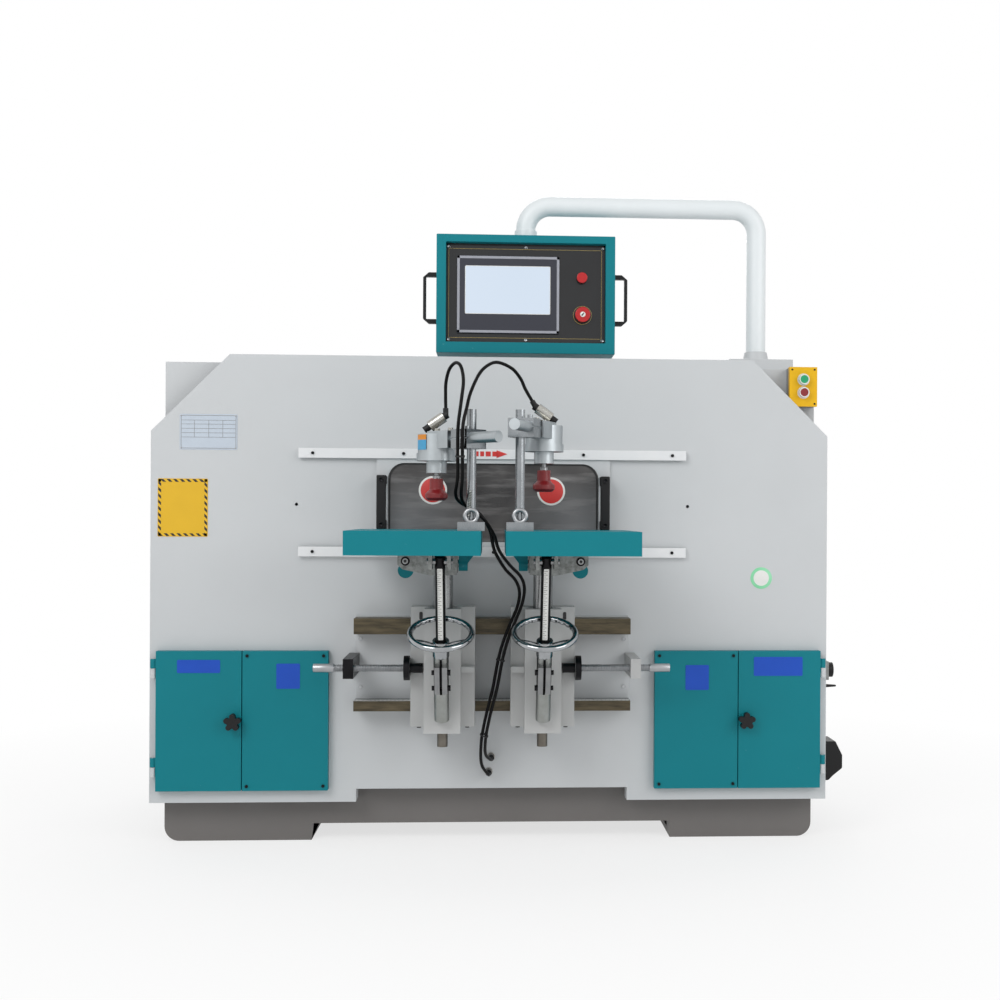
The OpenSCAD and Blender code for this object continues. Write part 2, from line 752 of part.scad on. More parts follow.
module clamp_cylinder(c) {
  p = cyl_at(c);
  z0 = c[6];
  z1 = z0 + 62;
  end = 112;
  difference() {
    color(steel) union() {
      along_z(cyl_d/2 - 1.5, z0 + 17, z1, p[0], p[1]);
      along_z(cyl_d/2 + 1, z0, z0 + 18, p[0], p[1]);
      along_z(23.5, z0 - 28, z0 + e, p[0], p[1]);
      at_bar(c) span(-c[5], -32, -21, 21, -22, 18);
      at_bar(c) along_x(bar_d/2, -c[5] + 20, end, 0, 0);
      at_bar(c) along_z(6, 17, 25, -44, 0);
    }
    along_z(5 + slack, z0 - 29, z0 + 50, p[0], p[1]);
  }
  color(steel) translate([p[0], p[1], z1]) {
    along_z(8, -e, 14, 0, 0);
    translate([0, 0, 30]) rotate([0, -55*c[4], 0]) along_z(13, -20, 20, 0, 0);
  }
  color(black) translate([p[0], p[1], z1 + 30]) rotate([0, -55*c[4], 0]) {
    along_z(9, 19, 30, 0, 0);
    along_z(8, -36, -19, 0, 0);
    translate([0, 0, 25]) rotate([0, 55*c[4] + c[8], 0]) along_z(6.5, 0, 17, 0, 0);
  }
}

module clamp_foot(c) {
  p = cyl_at(c);
  translate([p[0], p[1], c[7]]) {
    color(steel) along_z(5, 52, c[6] - c[7] + 20, 0, 0);
    color(steel) along_z(9, 50, 58, 0, 0);
    color(red) rotate_extrude() polygon([[0, 0], [19, 0], [26, 6], [26, 16], [16, 26], [15.5, 51], [0, 51]]);
  }
}

// The air hoses: hand-chosen route points, each swept as one tube

left_route = [[-112.5, -810.6, 1090.7], [-113, -811.5, 1118], [-112, -820, 1150], [-104, -836, 1178],
  [-91, -854, 1191], [-80, -871, 1187], [-73, -885, 1170], [-70, -895, 1143], [-74, -901, 1105],
  [-81, -906, 1045], [-82, -905, 990], [-82, -893, 930], [-87, -872, 890], [-78, -846, 872],
  [-54, -830, 858], [-30, -828, 842], [-8, -808, 806], [2, -778, 760], [26, -722, 716],
  [54, -684, 684], [64, -668, 654], [59, -656, 618], [41, -652, 574], [23, -652, 526], [12, -652, 482],
  [0, -650, 417], [-16, -644, 350], [-27, -622, 286], [-27, -580, 222], [-10, -545, 188],
  [-9, -520.4, 187]];
right_route = [[89.6, -755.2, 1114.4], [73.6, -755.5, 1142], [62, -762, 1166], [41, -780, 1188],
  [8, -806, 1199], [-16, -828, 1189], [-36, -850, 1165], [-54, -880, 1121], [-62, -903, 1085],
  [-70, -916, 1045], [-71, -915, 990], [-71, -902, 930], [-74, -880, 888], [-68, -853, 868],
  [-46, -838, 850], [-22, -838, 832], [0, -818, 798], [14, -785, 758], [40, -730, 722],
  [66, -690, 694], [76, -672, 664], [70, -664, 624], [52, -662, 578], [34, -662, 530], [23, -662, 486],
  [11, -660, 421], [-5, -654, 356], [-16, -632, 296], [-17, -590, 248], [-4, -545, 226],
  [-3, -520.4, 225]];

function at(p, i) = p[max(0, min(len(p) - 1, i))];
function unit(v) = v/norm(v);
function tangent(p, i) = unit(at(p, i + 1) - at(p, i - 1));
function across(v, t) = unit(v - (v*t)*t);
function frames(p) = [for (i = 0, v = across([0, 1, 0.3], tangent(p, 0)); i < len(p);
  i = i + 1, v = i < len(p) ? across(v, tangent(p, i)) : v) v];

module swept(p, r, sides) {
  n = len(p);
  f = frames(p);
  pts = [for (i = [0:n - 1], k = [0:sides - 1]) let (t = tangent(p, i), w = cross(t, f[i]), a = 360*k/sides)
    p[i] + r*(cos(a)*f[i] + sin(a)*w)];
  quads = [for (i = [0:n - 2], k = [0:sides - 1]) let (m = (k + 1)%sides)
    each [[i*sides + k, (i + 1)*sides + k, (i + 1)*sides + m],
      [i*sides + k, (i + 1)*sides + m, i*sides + m]]];
  caps = [[for (k = [0:sides - 1]) k], [for (k = [sides - 1:-1:0]) (n - 1)*sides + k]];
  polyhedron(points = pts, faces = concat(quads, caps), convexity = 6);
}

module left_hose() color(black) swept(left_route, hose_d/2, 8);
module right_hose() color(black) swept(right_route, hose_d/2, 8);

base_frame();
front_plate();
rear_housing();
guide_plate();
guide_bars();
guard_rails();
fixed_panels();
cabinet_fasteners();
dust_hood();
arm_pedestal();
button_box();
screw_nuts();
air_unit();
power_inlet();
hose_bulkhead();
cross_bed();
x_servo_motor();
x_saddle();
spindle_unit();
cutter_head();
mirror([1, 0, 0]) door_panel();  // left_door
door_panel();  // right_door
mirror([1, 0, 0]) star_knob();  // left_door_knob
star_knob();  // right_door_knob
guard_panel();
guard_handles();
pendant_arm();
pendant_case();
pendant_handles();
pendant_fascia();
touch_screen();
pendant_push_button();
pendant_stop_button();
start_button();
stop_button();
regulator_knob();
station(-1) carriage();  // left_carriage
station(-1) lead_screw();  // left_lead_screw
station(-1) lift_slide();  // left_lift_slide
station(-1) lift_screw();  // left_lift_screw
station(-1) column_head();  // left_column_head
station(-1) table();  // left_table
station(-1) strut_rod();  // left_strut_rod
station(-1) handwheel();  // left_handwheel
clamp_stand(left_clamp);  // left_clamp_stand
clamp_cylinder(left_clamp);  // left_clamp_cylinder
clamp_foot(left_clamp);  // left_clamp_foot
left_hose();
station(1) carriage();  // right_carriage
station(1) lead_screw();  // right_lead_screw
station(1) lift_slide();  // right_lift_slide
station(1) lift_screw();  // right_lift_screw
station(1) column_head();  // right_column_head
station(1) table();  // right_table
station(1) strut_rod();  // right_strut_rod
station(1) handwheel();  // right_handwheel
clamp_stand(right_clamp);  // right_clamp_stand
clamp_cylinder(right_clamp);  // right_clamp_cylinder
clamp_foot(right_clamp);  // right_clamp_foot
right_hose();
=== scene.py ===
# %% [markdown]
# A two-station tenoning machine, dressed over its CAD frame. The frame gives every solid and joint
# in metres. This script adds the camera, the light, the finishes and the small pieces that the solids
# leave out, each riding on the body that carries it.

# %% Load the frame
import json
import math

import bpy
from mathutils import Matrix, Vector
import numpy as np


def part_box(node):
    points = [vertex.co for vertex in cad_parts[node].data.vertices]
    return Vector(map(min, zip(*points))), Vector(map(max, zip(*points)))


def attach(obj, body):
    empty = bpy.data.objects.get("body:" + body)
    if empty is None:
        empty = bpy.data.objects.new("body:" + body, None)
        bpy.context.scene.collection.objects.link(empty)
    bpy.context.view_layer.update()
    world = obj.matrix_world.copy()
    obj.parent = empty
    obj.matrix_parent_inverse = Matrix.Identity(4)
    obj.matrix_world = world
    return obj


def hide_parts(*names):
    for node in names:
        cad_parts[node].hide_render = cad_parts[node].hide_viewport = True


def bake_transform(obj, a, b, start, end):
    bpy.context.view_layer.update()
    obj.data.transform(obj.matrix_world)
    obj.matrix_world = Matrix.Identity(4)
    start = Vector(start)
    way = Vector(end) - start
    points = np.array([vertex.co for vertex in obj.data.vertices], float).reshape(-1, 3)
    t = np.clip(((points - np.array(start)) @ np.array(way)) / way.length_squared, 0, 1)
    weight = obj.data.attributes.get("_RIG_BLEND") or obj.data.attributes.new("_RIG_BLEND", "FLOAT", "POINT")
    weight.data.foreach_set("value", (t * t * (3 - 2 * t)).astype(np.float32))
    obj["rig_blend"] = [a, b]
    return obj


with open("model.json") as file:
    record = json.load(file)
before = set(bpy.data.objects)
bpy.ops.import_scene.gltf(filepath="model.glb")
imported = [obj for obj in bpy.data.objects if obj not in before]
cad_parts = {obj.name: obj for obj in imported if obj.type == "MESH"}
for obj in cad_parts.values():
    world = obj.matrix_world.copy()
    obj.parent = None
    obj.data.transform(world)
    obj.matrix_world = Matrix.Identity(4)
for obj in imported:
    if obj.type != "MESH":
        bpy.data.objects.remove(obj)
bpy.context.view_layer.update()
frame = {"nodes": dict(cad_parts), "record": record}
MM = 0.001

# %% [markdown]
# The camera stands where the photograph was taken from: in front of the guard, at two thirds of the
# cabinet's height, turned three degrees to the right. The place, the turn and the lens were fitted to
# points that the picture and the CAD share, so the shift only puts the picture's frame back where it was.

# %% Camera
camera_place = Vector((0, -4090, 840)) * MM
camera_yaw, camera_pitch, camera_roll = (math.radians(a) for a in (3.432, -0.063, 0.317))
sensor_width = 36
focal_pixels, image_pixels = 1402.7, 1000
frame_shift = (-0.0777, 0.018)

camera_data = bpy.data.cameras.new("photo_camera")
camera_data.sensor_width = sensor_width
camera_data.lens = focal_pixels / image_pixels * sensor_width
camera_data.shift_x, camera_data.shift_y = frame_shift
camera = bpy.data.objects.new("photo_camera", camera_data)
bpy.context.scene.collection.objects.link(camera)
facing = Matrix.Rotation(-camera_yaw, 4, "Z") @ Matrix.Rotation(math.pi / 2 + camera_pitch, 4, "X")
camera.matrix_world = Matrix.Translation(camera_place) @ facing @ Matrix.Rotation(camera_roll, 4, "Z")
bpy.context.scene.camera = camera
print("lens", round(camera_data.lens, 2), "mm")

# %% [markdown]
# A finish is a small graph of nodes. One function turns a web colour into the linear values that the
# shader wants, and one adds a node with its settings, values and links, so that each finish below
# reads as a short recipe. Object coordinates are in metres here, so a noise scale of 1/0.003 gives a
# pattern about three millimetres across.


# %% Colour and node helpers
def linear(web):
    """Linear red, green, blue and alpha of an sRGB hex colour"""
    parts = [int(web[i:i + 2], 16) / 255 for i in (1, 3, 5)]
    return [c / 12.92 if c <= 0.04045 else ((c + 0.055) / 1.055) ** 2.4 for c in parts] + [1]


def add(material, kind, values=None, links=None, stops=(), **settings):
    """Add one node: settings are its own, values fill its sockets, links feed them, stops are its colours"""
    node = material.node_tree.nodes.new("ShaderNode" + kind)
    for key, value in settings.items():
        setattr(node, key, value)
    for key, value in (values or {}).items():
        node.inputs[key].default_value = value
    for key, source in (links or {}).items():
        material.node_tree.links.new(source, node.inputs[key])
    for stop, (at, web) in zip(node.color_ramp.elements if stops else (), stops):
        stop.position, stop.color = at, linear(web)
    return node


FACTOR, FIRST, SECOND, MIXED = 0, 6, 7, 2  # sockets of a Mix node that mixes colours


def started(name):
    """A material with its shader and its object coordinates"""
    material = bpy.data.materials.new(name)
    material.use_nodes = True
    shader = material.node_tree.nodes["Principled BSDF"]
    place = add(material, "TexCoord").outputs["Object"]
    return material, shader, place


def link(material, source, shader, socket):
    material.node_tree.links.new(source, shader.inputs[socket])


def surface(material, shader, tone, sheen, gloss, relief, strength, depth):
    """Lead a colour, a pattern of gloss with its range, and a pattern of relief to the shader"""
    rough = add(material, "MapRange", {"To Min": gloss[0], "To Max": gloss[1]},
                {"Value": sheen.outputs["Fac"]})
    bump = add(material, "Bump", {"Strength": strength, "Distance": depth},
               {"Height": relief.outputs["Fac"]})
    link(material, tone.outputs[MIXED], shader, "Base Color")
    link(material, rough.outputs["Result"], shader, "Roughness")
    link(material, bump.outputs["Normal"], shader, "Normal")


# %% [markdown]
# Enamel is sprayed on sheet steel and castings. It is never quite one colour: it has a faint cloud
# from the spray, an orange peel of a few millimetres, and small chips where tools have struck it.


# %% Sprayed enamel
def enamel(name, main, cloud, chip, rough, chips=0.0, sheen=0.5):
    material, shader, place = started(name)
    shader.inputs["Specular IOR Level"].default_value = sheen
    drift = add(material, "TexNoise", {"Scale": 1 / 0.22, "Detail": 4}, {"Vector": place})
    tone = add(material, "Mix", {FIRST: linear(main), SECOND: linear(cloud)},
               {FACTOR: drift.outputs["Fac"]}, data_type="RGBA")
    speck = add(material, "TexNoise", {"Scale": 1 / 0.009, "Detail": 5, "Roughness": 0.62},
                {"Vector": place})
    where = add(material, "MapRange", {"From Min": 0.74 - chips, "From Max": 0.77 - chips},
                {"Value": speck.outputs["Fac"]})
    patched = add(material, "Mix", {SECOND: linear(chip)},
               {FACTOR: where.outputs["Result"], FIRST: tone.outputs[MIXED]}, data_type="RGBA")
    peel = add(material, "TexNoise", {"Scale": 1 / 0.0035, "Detail": 2}, {"Vector": place})
    surface(material, shader, patched, drift, (rough - 0.06, rough + 0.08), peel, 0.12, 0.0003)
    shader.inputs["IOR"].default_value = 1.5
    return material


cabinet_enamel = enamel("grey_enamel_on_sheet_steel", "#C9CCCE", "#C2C5C7", "#B5B5B2", 0.46)
casting_enamel = enamel("grey_enamel_on_castings", "#B9BABA", "#ADAEAD", "#8A877F", 0.5, 0.02)
base_enamel = enamel("dark_grey_enamel_on_base", "#726F6D", "#696664", "#575450", 0.52, 0.01)
teal_enamel = enamel("teal_enamel_on_sheet_steel", "#007D88", "#007580", "#8FBEC0", 0.46, 0.012, 0.25)
tube_enamel = enamel("pale_enamel_on_steel_tube", "#E6EBED", "#DFE5E7", "#CFD4D5", 0.36)

# %% [markdown]
# Ground and drawn steel carry fine lines along the way they were worked. A noise that is stretched
# far along one axis gives those lines, both in the gloss and as a bump too fine to see by itself.


# %% Worked metals
def worked_metal(name, main, dull, rough, along=(1, 1, 1), grain=0.0006, relief=0.15):
    material, shader, place = started(name)
    turned = add(material, "Mapping", {"Scale": along}, {"Vector": place})
    lines = add(material, "TexNoise", {"Scale": 1 / grain, "Detail": 3},
                {"Vector": turned.outputs["Vector"]})
    stain = add(material, "TexNoise", {"Scale": 1 / 0.03, "Detail": 5}, {"Vector": place})
    tone = add(material, "Mix", {FIRST: linear(main), SECOND: linear(dull)},
               {FACTOR: stain.outputs["Fac"]}, data_type="RGBA")
    surface(material, shader, tone, lines, (rough * 0.7, rough * 1.35), lines, relief, 0.0002)
    shader.inputs["Metallic"].default_value = 1
    return material


even, along_x, along_z = (1, 1, 1), (0.02, 1, 1), (1, 1, 0.02)
ground_steel = worked_metal("ground_steel", "#9FA0A1", "#77787A", 0.32, along_x)
column_steel = worked_metal("ground_steel_column", "#A6A8A9", "#737474", 0.26, along_z)
zinc_steel = worked_metal("zinc_plated_steel", "#B4B6B8", "#8C8E91", 0.34)
galvanised = worked_metal("galvanised_tube", "#A9ABAB", "#83867F", 0.42, along_z, 0.004, 0.35)
turned_aluminium = worked_metal("turned_aluminium", "#B7BDC0", "#A2A8AB", 0.38, along_z)
drawn_post = worked_metal("drawn_steel_post", "#A2A6A9", "#7C8083", 0.24, along_z)
oily_thread = worked_metal("oily_screw_steel", "#817C74", "#4C4842", 0.36, along_z)
cast_aluminium = worked_metal("sand_cast_aluminium", "#A9ABAB", "#555653", 0.5, even, 0.0025, 0.9)
polished_chrome = worked_metal("polished_chrome", "#B7B9BB", "#84878A", 0.12, even, 0.02, 0.02)
black_oxide = worked_metal("black_oxide_steel", "#2A2A2C", "#19191A", 0.36)
nickel = worked_metal("nickel_plated_brass", "#C2C1BC", "#93928C", 0.25)
print("finishes so far", len(bpy.data.materials))

# %% [markdown]
# Moulded plastics differ mostly in their skin: a handle has a fine grain, a button cap is smooth and
# glossy, rubber is dull. Each gets a grain of its own size and a faint change of gloss.


# %% Plastics and rubber
def moulded(name, main, shade, rough, grain=0.0008, relief=0.2, sheen=0.5):
    material, shader, place = started(name)
    shader.inputs["Specular IOR Level"].default_value = sheen
    skin = add(material, "TexNoise", {"Scale": 1 / grain, "Detail": 2}, {"Vector": place})
    smear = add(material, "TexNoise", {"Scale": 1 / 0.04, "Detail": 4}, {"Vector": place})
    tone = add(material, "Mix", {FIRST: linear(main), SECOND: linear(shade)},
               {FACTOR: smear.outputs["Fac"]}, data_type="RGBA")
    surface(material, shader, tone, smear, (rough * 0.8, rough * 1.25), skin, relief, 0.0001)
    shader.inputs["IOR"].default_value = 1.5
    return material


black_plastic = moulded("grained_black_nylon", "#151517", "#0F0F10", 0.42, sheen=0.3)
black_panel = moulded("black_acrylic_sheet", "#141517", "#1B1C1F", 0.16, 0.01, 0.03)
slate_plastic = moulded("slate_abs", "#2A2C38", "#242631", 0.38)
yellow_plastic = moulded("yellow_abs", "#EBB80C", "#DFAC08", 0.38, sheen=0.3)
grey_plastic = moulded("grey_abs", "#8E8F90", "#848586", 0.42)
white_plastic = moulded("white_nylon", "#E9E9E6", "#DDDDD9", 0.35)
red_plastic = moulded("red_polycarbonate", "#C0161C", "#A91217", 0.24, 0.004, 0.03)
dark_red_plastic = moulded("dark_red_polycarbonate", "#8E2326", "#7D1C20", 0.24, 0.004, 0.03)
green_plastic = moulded("green_polycarbonate", "#17A06B", "#128F5E", 0.24, 0.004, 0.03)
blue_plastic = moulded("blue_acetal", "#2447A8", "#1D3C93", 0.35)
red_rubber = moulded("dark_red_polyurethane", "#8A1B1F", "#6E1518", 0.34, 0.002, 0.08)
black_rubber = moulded("black_nitrile_rubber", "#1A1A1B", "#121213", 0.6)
hose_tube = moulded("black_polyurethane_tube", "#050506", "#09090A", 0.34, 0.006, 0.04, 0.12)
anodised = moulded("white_anodised_aluminium", "#E8E9EA", "#DFE1E3", 0.34, 0.0015, 0.1)
silver_plate = moulded("silver_lacquered_plate", "#C3CDD8", "#BAC4D0", 0.36, 0.0012, 0.1)
yellow_plate = moulded("yellow_vinyl_plate", "#E2B41C", "#DAAC16", 0.4)
sky_plate = moulded("sky_blue_vinyl_label", "#4A9FCA", "#4397C2", 0.4)
orange_plate = moulded("orange_vinyl_label", "#D98A2B", "#CF8024", 0.4)
blue_plate = moulded("blue_vinyl_plate", "#1A50BE", "#184AB2", 0.4, sheen=0.3)
green_plate = moulded("pale_green_vinyl_disc", "#6FCF95", "#A5E0BC", 0.4)
red_plate = moulded("red_vinyl_strip", "#D23A36", "#C6322F", 0.4)
ink = moulded("black_print", "#18181A", "#222224", 0.45)
pale_bezel = moulded("pale_grey_bezel", "#A3A5AF", "#95979F", 0.4)
brass_line = moulded("brass_coloured_print", "#A8935A", "#9A8650", 0.4)

# %% [markdown]
# Some finishes need a recipe of their own. The guide bars are bare ground steel under old oil, so brown
# streaks run along them. The guard's pane is smoked plastic, smudged by dust, with paler slanted streaks,
# and paler towards its lower outer corners. The column heads are bare castings, one plate has a striped
# edge, and the display is a pale lit sheet behind glass.


# %% Oiled bars, smoked pane, castings, stripes and display
def oiled_steel():
    material, shader, place = started("oiled_ground_steel")
    drawn = add(material, "Mapping", {"Scale": (0.12, 1, 1)}, {"Vector": place})
    streak = add(material, "TexNoise", {"Scale": 1 / 0.008, "Detail": 6, "Roughness": 0.65},
                 {"Vector": drawn.outputs["Vector"]})
    oil = add(material, "ValToRGB", None, {"Fac": streak.outputs["Fac"]},
              ((0.3, "#2E2718"), (0.72, "#655A43")))
    link(material, oil.outputs["Color"], shader, "Base Color")
    bump = add(material, "Bump", {"Strength": 0.3, "Distance": 0.0004},
               {"Height": streak.outputs["Fac"]})
    link(material, bump.outputs["Normal"], shader, "Normal")
    shader.inputs["Metallic"].default_value = 0.35
    shader.inputs["Roughness"].default_value = 0.42
    return material


def smoked_pane():
    material, shader, place = started("smoked_polycarbonate")
    smudge = add(material, "TexNoise", {"Scale": 1 / 0.12, "Detail": 3, "Roughness": 0.45},
                 {"Vector": place})
    dust = add(material, "ValToRGB", None, {"Fac": smudge.outputs["Fac"]},
               ((0.36, "#242324"), (0.68, "#504D4C")))
    # Paler streaks run slantwise across the pane.
    slant_map = add(material, "Mapping", {"Scale": (0.3, 1, 2.2), "Rotation": (0, 0.22, 0)},
                {"Vector": place})
    streak = add(material, "TexNoise", {"Scale": 1 / 0.07, "Detail": 5, "Roughness": 0.6},
                 {"Vector": slant_map.outputs["Vector"]})
    haze = add(material, "MapRange", {"From Min": 0.5, "From Max": 0.78, "To Max": 0.75},
               {"Value": streak.outputs["Fac"]})
    tone = add(material, "Mix", {SECOND: linear("#8C8988")},
               {FACTOR: haze.outputs["Result"], FIRST: dust.outputs["Color"]}, data_type="RGBA")
    # The pane turns paler towards its lower outer corners.
    axes = add(material, "SeparateXYZ", None, {"Vector": place}).outputs
    side = add(material, "Math", None, {0: axes["X"]}, operation="ABSOLUTE").outputs[0]
    outward = add(material, "MapRange", {"From Min": 0.03, "From Max": 0.24}, {"Value": side})
    low = add(material, "MapRange", {"From Min": 0.95, "From Max": 0.8, "To Max": 0.8},
              {"Value": axes["Z"]})
    patched = add(material, "Math", None, {0: outward.outputs["Result"], 1: low.outputs["Result"]},
               operation="MULTIPLY").outputs[0]
    paler_corners = add(material, "Mix", {SECOND: linear("#7B7D80")},
                {FACTOR: patched, FIRST: tone.outputs[MIXED]}, data_type="RGBA")
    link(material, paler_corners.outputs[MIXED], shader, "Base Color")
    gloss = add(material, "MapRange", {"To Min": 0.1, "To Max": 0.3},
                {"Value": streak.outputs["Fac"]})
    link(material, gloss.outputs["Result"], shader, "Roughness")
    shader.inputs["IOR"].default_value = 1.58
    return material


def rough_casting():
    """Bare sand-cast metal: pits and bright rubbed spots"""
    material, shader, place = started("rough_sand_casting")
    pits = add(material, "TexNoise", {"Scale": 1 / 0.012, "Detail": 6, "Roughness": 0.7},
               {"Vector": place})
    tone = add(material, "ValToRGB", None, {"Fac": pits.outputs["Fac"]},
               ((0.3, "#6C6D6B"), (0.7, "#A6A8A6")))
    link(material, tone.outputs["Color"], shader, "Base Color")
    bump = add(material, "Bump", {"Strength": 0.3, "Distance": 0.0008},
               {"Height": pits.outputs["Fac"]})
    link(material, bump.outputs["Normal"], shader, "Normal")
    shader.inputs["Metallic"].default_value = 0.7
    shader.inputs["Roughness"].default_value = 0.45
    return material


def hazard_stripes(pitch=16 * MM):
    """Slanted black bars on yellow"""
    material, shader, place = started("hazard_striped_vinyl")
    axes = add(material, "SeparateXYZ", None, {"Vector": place}).outputs
    slant = add(material, "Math", None, {0: axes["X"], 1: axes["Z"]}, operation="ADD").outputs[0]
    turn = add(material, "Math", {1: 1 / pitch}, {0: slant}, operation="MULTIPLY").outputs[0]
    wrapped = add(material, "Math", None, {0: turn}, operation="FRACT").outputs[0]
    bar = add(material, "Math", {1: 0.5}, {0: wrapped}, operation="GREATER_THAN").outputs[0]
    tone = add(material, "Mix", {FIRST: linear("#E2B41C"), SECOND: linear("#18181A")},
               {FACTOR: bar}, data_type="RGBA")
    link(material, tone.outputs[MIXED], shader, "Base Color")
    shader.inputs["Roughness"].default_value = 0.4
    return material


def lit_display():
    material, shader, place = started("lit_display_glass")
    haze = add(material, "TexNoise", {"Scale": 1 / 0.3, "Detail": 1}, {"Vector": place})
    tone = add(material, "Mix", {FIRST: linear("#DDEAF9"), SECOND: linear("#D3E1F1")},
               {FACTOR: haze.outputs["Fac"]}, data_type="RGBA")
    link(material, tone.outputs[MIXED], shader, "Emission Color")
    shader.inputs["Emission Strength"].default_value = 0.93
    shader.inputs["Base Color"].default_value = linear("#0C1016")
    shader.inputs["Roughness"].default_value = 0.14
    return material


oily_steel = oiled_steel()
pane_plastic = smoked_pane()
raw_casting = rough_casting()
striped_plate = hazard_stripes()
display_glass = lit_display()
print("finishes", len(bpy.data.materials))

# %% [markdown]
# The air hoses come before the other pieces, because their room is the hardest to change later. Each
# follows the points of the CAD route, smoothed by a curve through them. A hose crosses
# several joints, so it is made in sections: each section bends between two bodies that one joint
# joins, and meets the next where both follow the same body.

# %% Hose routes
hose_diameter = 8 * MM
left_route = [(-112.5, -810.6, 1090.7), (-113, -811.5, 1118), (-112, -820, 1150), (-104, -836, 1178),
              (-91, -854, 1191), (-80, -871, 1187), (-73, -885, 1170), (-70, -895, 1143),
              (-74, -901, 1105), (-81, -906, 1045), (-82, -905, 990), (-82, -893, 930),
              (-87, -872, 890), (-78, -846, 872), (-54, -830, 858), (-30, -828, 842), (-8, -808, 806),
              (2, -778, 760), (26, -722, 716), (54, -684, 684), (64, -668, 654), (59, -656, 618),
              (41, -652, 574), (23, -652, 526), (12, -652, 482), (0, -650, 417), (-16, -644, 350),
              (-27, -622, 286), (-27, -580, 222), (-10, -545, 188), (-9, -520.4, 187)]
right_route = [(89.6, -755.2, 1114.4), (73.6, -755.5, 1142), (62, -762, 1166), (41, -780, 1188),
               (8, -806, 1199), (-16, -828, 1189), (-36, -850, 1165), (-54, -880, 1121),
               (-62, -903, 1085), (-70, -916, 1045), (-71, -915, 990), (-71, -902, 930),
               (-74, -880, 888), (-68, -853, 868), (-46, -838, 850), (-22, -838, 832), (0, -818, 798),
               (14, -785, 758), (40, -730, 722), (66, -690, 694), (76, -672, 664), (70, -664, 624),
               (52, -662, 578), (34, -662, 530), (23, -662, 486), (11, -660, 421), (-5, -654, 356),
               (-16, -632, 296), (-17, -590, 248), (-4, -545, 226), (-3, -520.4, 225)]
left_bodies = [(0.0, "left_table", None), (0.5, "left_table", "left_lift"),
               (0.65, "left_lift", "left_carriage"), (0.8, "left_carriage", "cabinet")]
right_bodies = [(0.0, "right_table", "right_lift"), (0.0355, "right_lift", "right_carriage"),
                (0.084, "right_carriage", "cabinet"), (0.1205, "cabinet", "left_carriage"),
                (0.1565, "left_carriage", "left_lift"), (0.2055, "left_lift", "left_table"),
                (0.25, "left_table", None), (0.52, "left_table", "left_lift"),
                (0.68, "left_lift", "left_carriage"), (0.82, "left_carriage", "cabinet")]


def smoothed(route, steps=8):
    """Points in metres on a curve through every point of a route"""
    points = [Vector(p) * MM for p in route]
    ends = [points[0], *points, points[-1]]
    line = []
    for before, start, end, after in zip(ends, ends[1:], ends[2:], ends[3:]):
        for step in range(steps):
            t = step / steps
            line.append(start + 0.5 * t * (end - before + t * (2 * before - 5 * start + 4 * end - after
                        + t * (3 * (start - end) + after - before))))
    return line + [points[-1]]


def run_lengths(line):
    lengths = [0.0]
    for start, end in zip(line, line[1:]):
        lengths.append(lengths[-1] + (end - start).length)
    return lengths


# %% Tubes along a line
def only(piece):
    """Select one object alone and make it the active one"""
    if bpy.context.object and bpy.context.object.mode != "OBJECT":
        bpy.ops.object.mode_set(mode="OBJECT")
    bpy.ops.object.select_all(action="DESELECT")
    piece.select_set(True)
    bpy.context.view_layer.objects.active = piece


def linked(name, data):
    """A new object in the scene, selected alone"""
    piece = bpy.data.objects.new(name, data)
    bpy.context.scene.collection.objects.link(piece)
    only(piece)
    return piece


def finished(piece, finish):
    """One finish on the whole piece"""
    piece.data.materials.clear()
    piece.data.materials.append(finish)
    return piece


def tube_along(name, lines, radius, turns):
    """A closed round tube along each line of points, in metres"""
    curve = bpy.data.curves.new(name, "CURVE")
    curve.dimensions, curve.bevel_depth, curve.bevel_resolution = "3D", radius, turns
    curve.use_fill_caps = True
    for line in lines:
        spline = curve.splines.new("POLY")
        spline.points.add(len(line) - 1)
        for point, at in zip(spline.points, line):
            point.co = (*at, 1)
    piece = linked(name, curve)
    bpy.ops.object.convert(target="MESH")
    return piece


# %% Hose sections
def hose_section(name, line, first, second):
    """A tube along a line that follows one body, or bends from it to a second one"""
    piece = finished(tube_along(name, [line], hose_diameter / 2, 4), hose_tube)
    bpy.ops.object.shade_smooth_by_angle(angle=math.radians(50))
    if second:
        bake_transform(piece, first, second, start=line[0], end=line[-1])
    else:
        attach(piece, first)
    return piece


hose_lines, hose_stretches = {}, {}
for side, route, bodies in (("left", left_route, left_bodies), ("right", right_route, right_bodies)):
    line = smoothed(route)
    hose_lines[side] = line
    lengths = run_lengths(line)
    cuts = [share * lengths[-1] for share, _, _ in bodies] + [lengths[-1]]
    marks = [min(range(len(line)), key=lambda i: abs(lengths[i] - cut)) for cut in cuts]
    for number, (_, first, second) in enumerate(bodies):
        stretch = line[marks[number]:marks[number + 1] + 1]
        hose_stretches[side, number] = (first, second, stretch[0], stretch[-1])
        section = hose_section(f"{side}_hose_{number + 1}", stretch, first, second)
        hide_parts(f"{side}_hose")
    print(side, "hose", round(lengths[-1], 3), "m")

# %% [markdown]
# Real sheet metal and castings have no knife edges: every fold, chamfer and milled corner catches a
# line of light. A copy of the CAD solid, merged from its loose triangles and bevelled along its sharp
# edges, gives that line without changing a size, and then stands for the node.

# %% Rounded copies of the solids
nodes = frame["nodes"]
carried = frame["record"]["behaviour"]["bodies"]
body_of = {node: body for body, members in carried.items() for node in members}


def apply_modifier(piece, kind, **settings):
    modifier = piece.modifiers.new(kind.lower(), kind)
    for key, value in settings.items():
        setattr(modifier, key, value)
    only(piece)
    bpy.ops.object.modifier_apply(modifier=modifier.name)


def rounded_rims(piece, edge, angle=60, turns=2):
    """Bevel the edges that turn by more than an angle in degrees; the edge is in millimetres"""
    apply_modifier(piece, "BEVEL", width=edge * MM, segments=turns, limit_method="ANGLE",
                   angle_limit=math.radians(angle))


